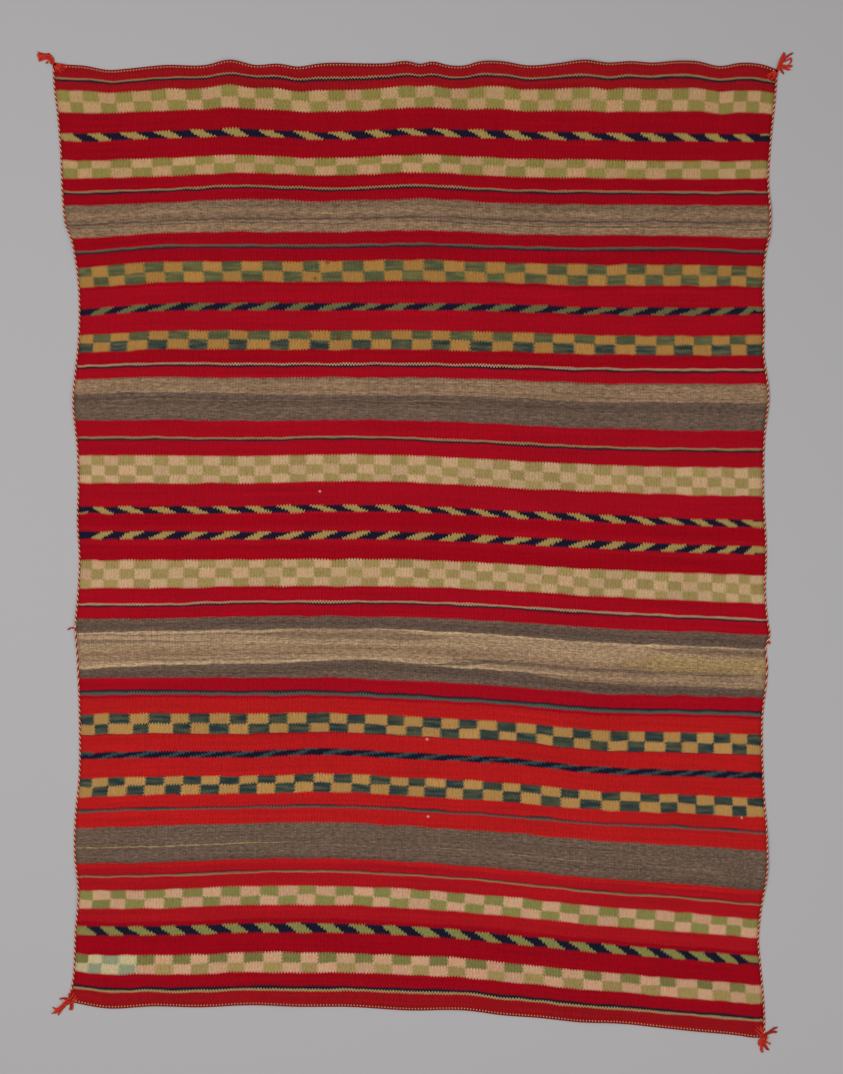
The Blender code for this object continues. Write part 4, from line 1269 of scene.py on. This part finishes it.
def lock_yarns(knot, lock, seed):
    """A lock's yarns, drawn together at the knot, twisted a little and parted at the end."""
    way, at = smooth_way([knot, *lock.way], YARN_STATIONS)
    share = at / at[-1]
    aside = square_out(way)
    drawn_in = BUNDLED * TASSEL_YARN * math.sqrt(lock.yarns)
    wide = drawn_in * (1 - share) + lock.wide / 2 * share
    high = drawn_in * (1 - FLATTENED * share)
    chance = np.random.default_rng(seed)
    tubes = []
    for number in range(lock.yarns):
        angle = 2 * np.pi * (number / lock.yarns + lock.twist * share) + chance.uniform(-0.3, 0.3)
        inner = 0.35 + 0.65 * chance.uniform()
        sway = wide * np.cos(angle) * inner + YARN_WAVE * np.sin(7 * share + number) * share
        rise = high * (1 + np.sin(angle)) * inner * 0.8
        kept = YARN_STATIONS - chance.integers(0, 4)
        flat = (way + aside * sway[:, None])[:kept]
        line = place(*flat.T, YARN_REST + rise[:kept])
        thick = TASSEL_YARN * chance.uniform(*YARN_THICKS)
        dark = int(chance.uniform() < lock.dark)
        tubes.append((yarn_tube(line, thick, FRAYED_END), dark))
    return tubes


for number, (corner, (cloth_corner, outwards)) in enumerate(CORNER_PLACES.items()):
    knot = cloth_corner + np.array(outwards) * (HEAD_OUT_ACROSS, HEAD_OUT_DOWN)
    tubes = []
    for i, lock in enumerate(FREE_LOCKS[corner]):
        tubes += lock_yarns(knot, lock, 100 * number + i)
    for way in CREAM_ENDS[corner]:
        flat, at = smooth_way([knot, *way], CREAM_STATIONS)
        line = place(*flat.T, HEAD_HIGH + 0.8 * np.sin(at))
        tubes.append((yarn_tube(line, CREAM_THICK, CUT_END), 2))
    for i, end in enumerate(SEWN_YARNS[corner]):
        ahead = np.array(end) - knot
        aside = np.array([-ahead[1], ahead[0]]) / np.linalg.norm(ahead)
        middle = knot + ahead * 0.6 + aside * SEWN_BOW * math.sin(2.1 * i)
        flat, at = smooth_way([knot, middle, end], YARN_STATIONS)
        # Over the side cord, then along the cloth's face, and down into it at the end.
        up = np.interp(
            at,
            (0, 3, 11, 15, at[-1] - 2, at[-1]),
            (HEAD_HIGH, OVER_CORD, OVER_CORD, ON_CLOTH, ON_CLOTH, IN_CLOTH),
        )
        line = place(*flat.T, up + lift(*flat.T))
        tubes.append((yarn_tube(line, SEWN_THICK, CUT_END), int(i % 4 == 3)))
    for turn, tilt in enumerate(KNOT_TILTS):
        angle = np.linspace(0, 2 * np.pi, 25)
        long_way = KNOT_LONG * np.cos(angle)
        short_way = KNOT_SHORT * np.sin(angle)
        line = place(
            knot[0] + long_way * math.cos(tilt) - short_way * math.sin(tilt),
            knot[1] + long_way * math.sin(tilt) + short_way * math.cos(tilt),
            KNOT_HIGH + KNOT_RISE * np.sin(angle) + KNOT_LAYER * turn,
        )
        tubes.append((yarn_tube(line, KNOT_YARN), int(turn == 2)))
    tassel = yarn_piece(
        "tassel_" + corner + "_yarns", tubes, [TASSEL_WOOL, TASSEL_DARK, TASSEL_CREAM]
    )
    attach(tassel, "root")
    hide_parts("tassel_" + corner)


# The mends. Each side cord once broke and was spliced. A short twisted end stands out on the left,
# and on the right the ends are drawn into a tight knot.
TAIL_DOWN = 1080.0
TAIL_WAY = ((0, 0, 1.5), (-4, -1.6, 2.3), (-8.5, -0.6, 1.9), (-13, 2.6, 1.5))
TAIL_THICK = 3.0
TAIL_PLY_THICK = 1.7
TAIL_TURN = 6.0
TAIL_APART = 0.5
KNOT_DOWN = 1107.0
KNOT_OUT = 2.3
KNOT_HALF_LONG = 2.6
KNOT_WRAPS = 3
KNOT_STATIONS = 70
MEND_YARN = 1.7
MEND_ENDS = (0.6, 0.6)
tail_start = np.interp(TAIL_DOWN, left_edge[:, 1], left_edge[:, 0]) - SIDE_CORD - 2 * CORD_GAP
tail_line = np.array(TAIL_WAY) + [tail_start, TAIL_DOWN, 0]
tail_twists = (Twist(0, TAIL_TURN), Twist(2000, TAIL_TURN))
mend_tail = twined_cord(
    "left_mend_tail", tail_line, tail_twists, TAIL_THICK, TAIL_PLY_THICK, TAIL_APART,
    (TASSEL_WOOL, TASSEL_DARK),
)
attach(mend_tail, "root")
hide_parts("mend_tail_left")
knot_across = np.interp(KNOT_DOWN, right_edge[::-1, 1], right_edge[::-1, 0])
knot_across += SIDE_CORD + 3 * CORD_GAP + KNOT_OUT
wound_angle = np.linspace(0, 2 * np.pi * KNOT_WRAPS, KNOT_STATIONS)
wound_along = np.linspace(-KNOT_HALF_LONG, KNOT_HALF_LONG, KNOT_STATIONS)
wound_along += 0.5 * np.sin(2 * wound_angle)
bulge = 1.5 - 0.10 * wound_along**2
knot_line = place(
    knot_across + bulge * np.cos(wound_angle),
    KNOT_DOWN + wound_along,
    KNOT_OUT + bulge * np.sin(wound_angle),
)
mend_knot = yarn_piece(
    "right_mend_knot", [(yarn_tube(knot_line, MEND_YARN, MEND_ENDS), 0)], [TASSEL_WOOL]
)
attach(mend_knot, "root")
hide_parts("mend_knot_right")


# The studio. A plain pale grey ground, one large soft light up and to the left, a weaker one from
# the other side, and a camera straight above with the whole sheet in view.
VIEW_TALL = 2.041
VIEW_ACROSS = 705.9
VIEW_DOWN = 906.3
CAMERA_HIGH = 5.0
SENSOR_WIDE = 36.0
GROUND_REACH = 6.0
GROUND_BELOW = 0.0002
ground_mesh = bpy.data.meshes.new("studio ground")
ground_corners = [
    (x * GROUND_REACH, y * GROUND_REACH, 0) for x, y in ((-1, -1), (1, -1), (1, 1), (-1, 1))
]
ground_mesh.from_pydata(ground_corners, [], [(0, 1, 2, 3)])
ground = bpy.data.objects.new("studio_ground", ground_mesh)
ground.location.z = -GROUND_BELOW
bpy.context.scene.collection.objects.link(ground)
backdrop, _ = new_finish(
    "pale backdrop card",
    {"Base Color": dye(168, 166, 167), "Roughness": 1.0, "Specular IOR Level": 0.0},
)
ground_mesh.materials.append(backdrop)

middle_of_view = place(VIEW_ACROSS, VIEW_DOWN, 0.0)
camera_data = bpy.data.cameras.new("camera")
camera_data.sensor_width = SENSOR_WIDE
camera_data.lens = SENSOR_WIDE * CAMERA_HIGH / VIEW_TALL
camera = bpy.data.objects.new("camera", camera_data)
camera.location = (middle_of_view[0], middle_of_view[1], CAMERA_HIGH)
bpy.context.scene.collection.objects.link(camera)
bpy.context.scene.camera = camera

Lamp = namedtuple("Lamp", "name spot size power")
LAMPS = (
    Lamp("soft key", (-1.6, 0.2, 3.6), 2.6, 96.0),
    Lamp("soft fill", (1.8, -1.0, 3.4), 3.6, 56.0),
)
for lamp in LAMPS:
    light_data = bpy.data.lights.new(lamp.name, "AREA")
    light_data.shape = "DISK"
    light_data.size = lamp.size
    light_data.energy = lamp.power
    light = bpy.data.objects.new(lamp.name, light_data)
    light.location = lamp.spot
    light.rotation_mode = "QUATERNION"
    light.rotation_quaternion = (-Vector(lamp.spot)).to_track_quat("-Z", "Y")
    bpy.context.scene.collection.objects.link(light)
world = bpy.data.worlds.new("studio air")
world.use_nodes = True
air = world.node_tree.nodes["Background"]
air.inputs["Color"].default_value = (1, 1, 1, 1)
air.inputs["Strength"].default_value = 0.30
bpy.context.scene.world = world
bpy.context.scene.view_settings.view_transform = "Standard"
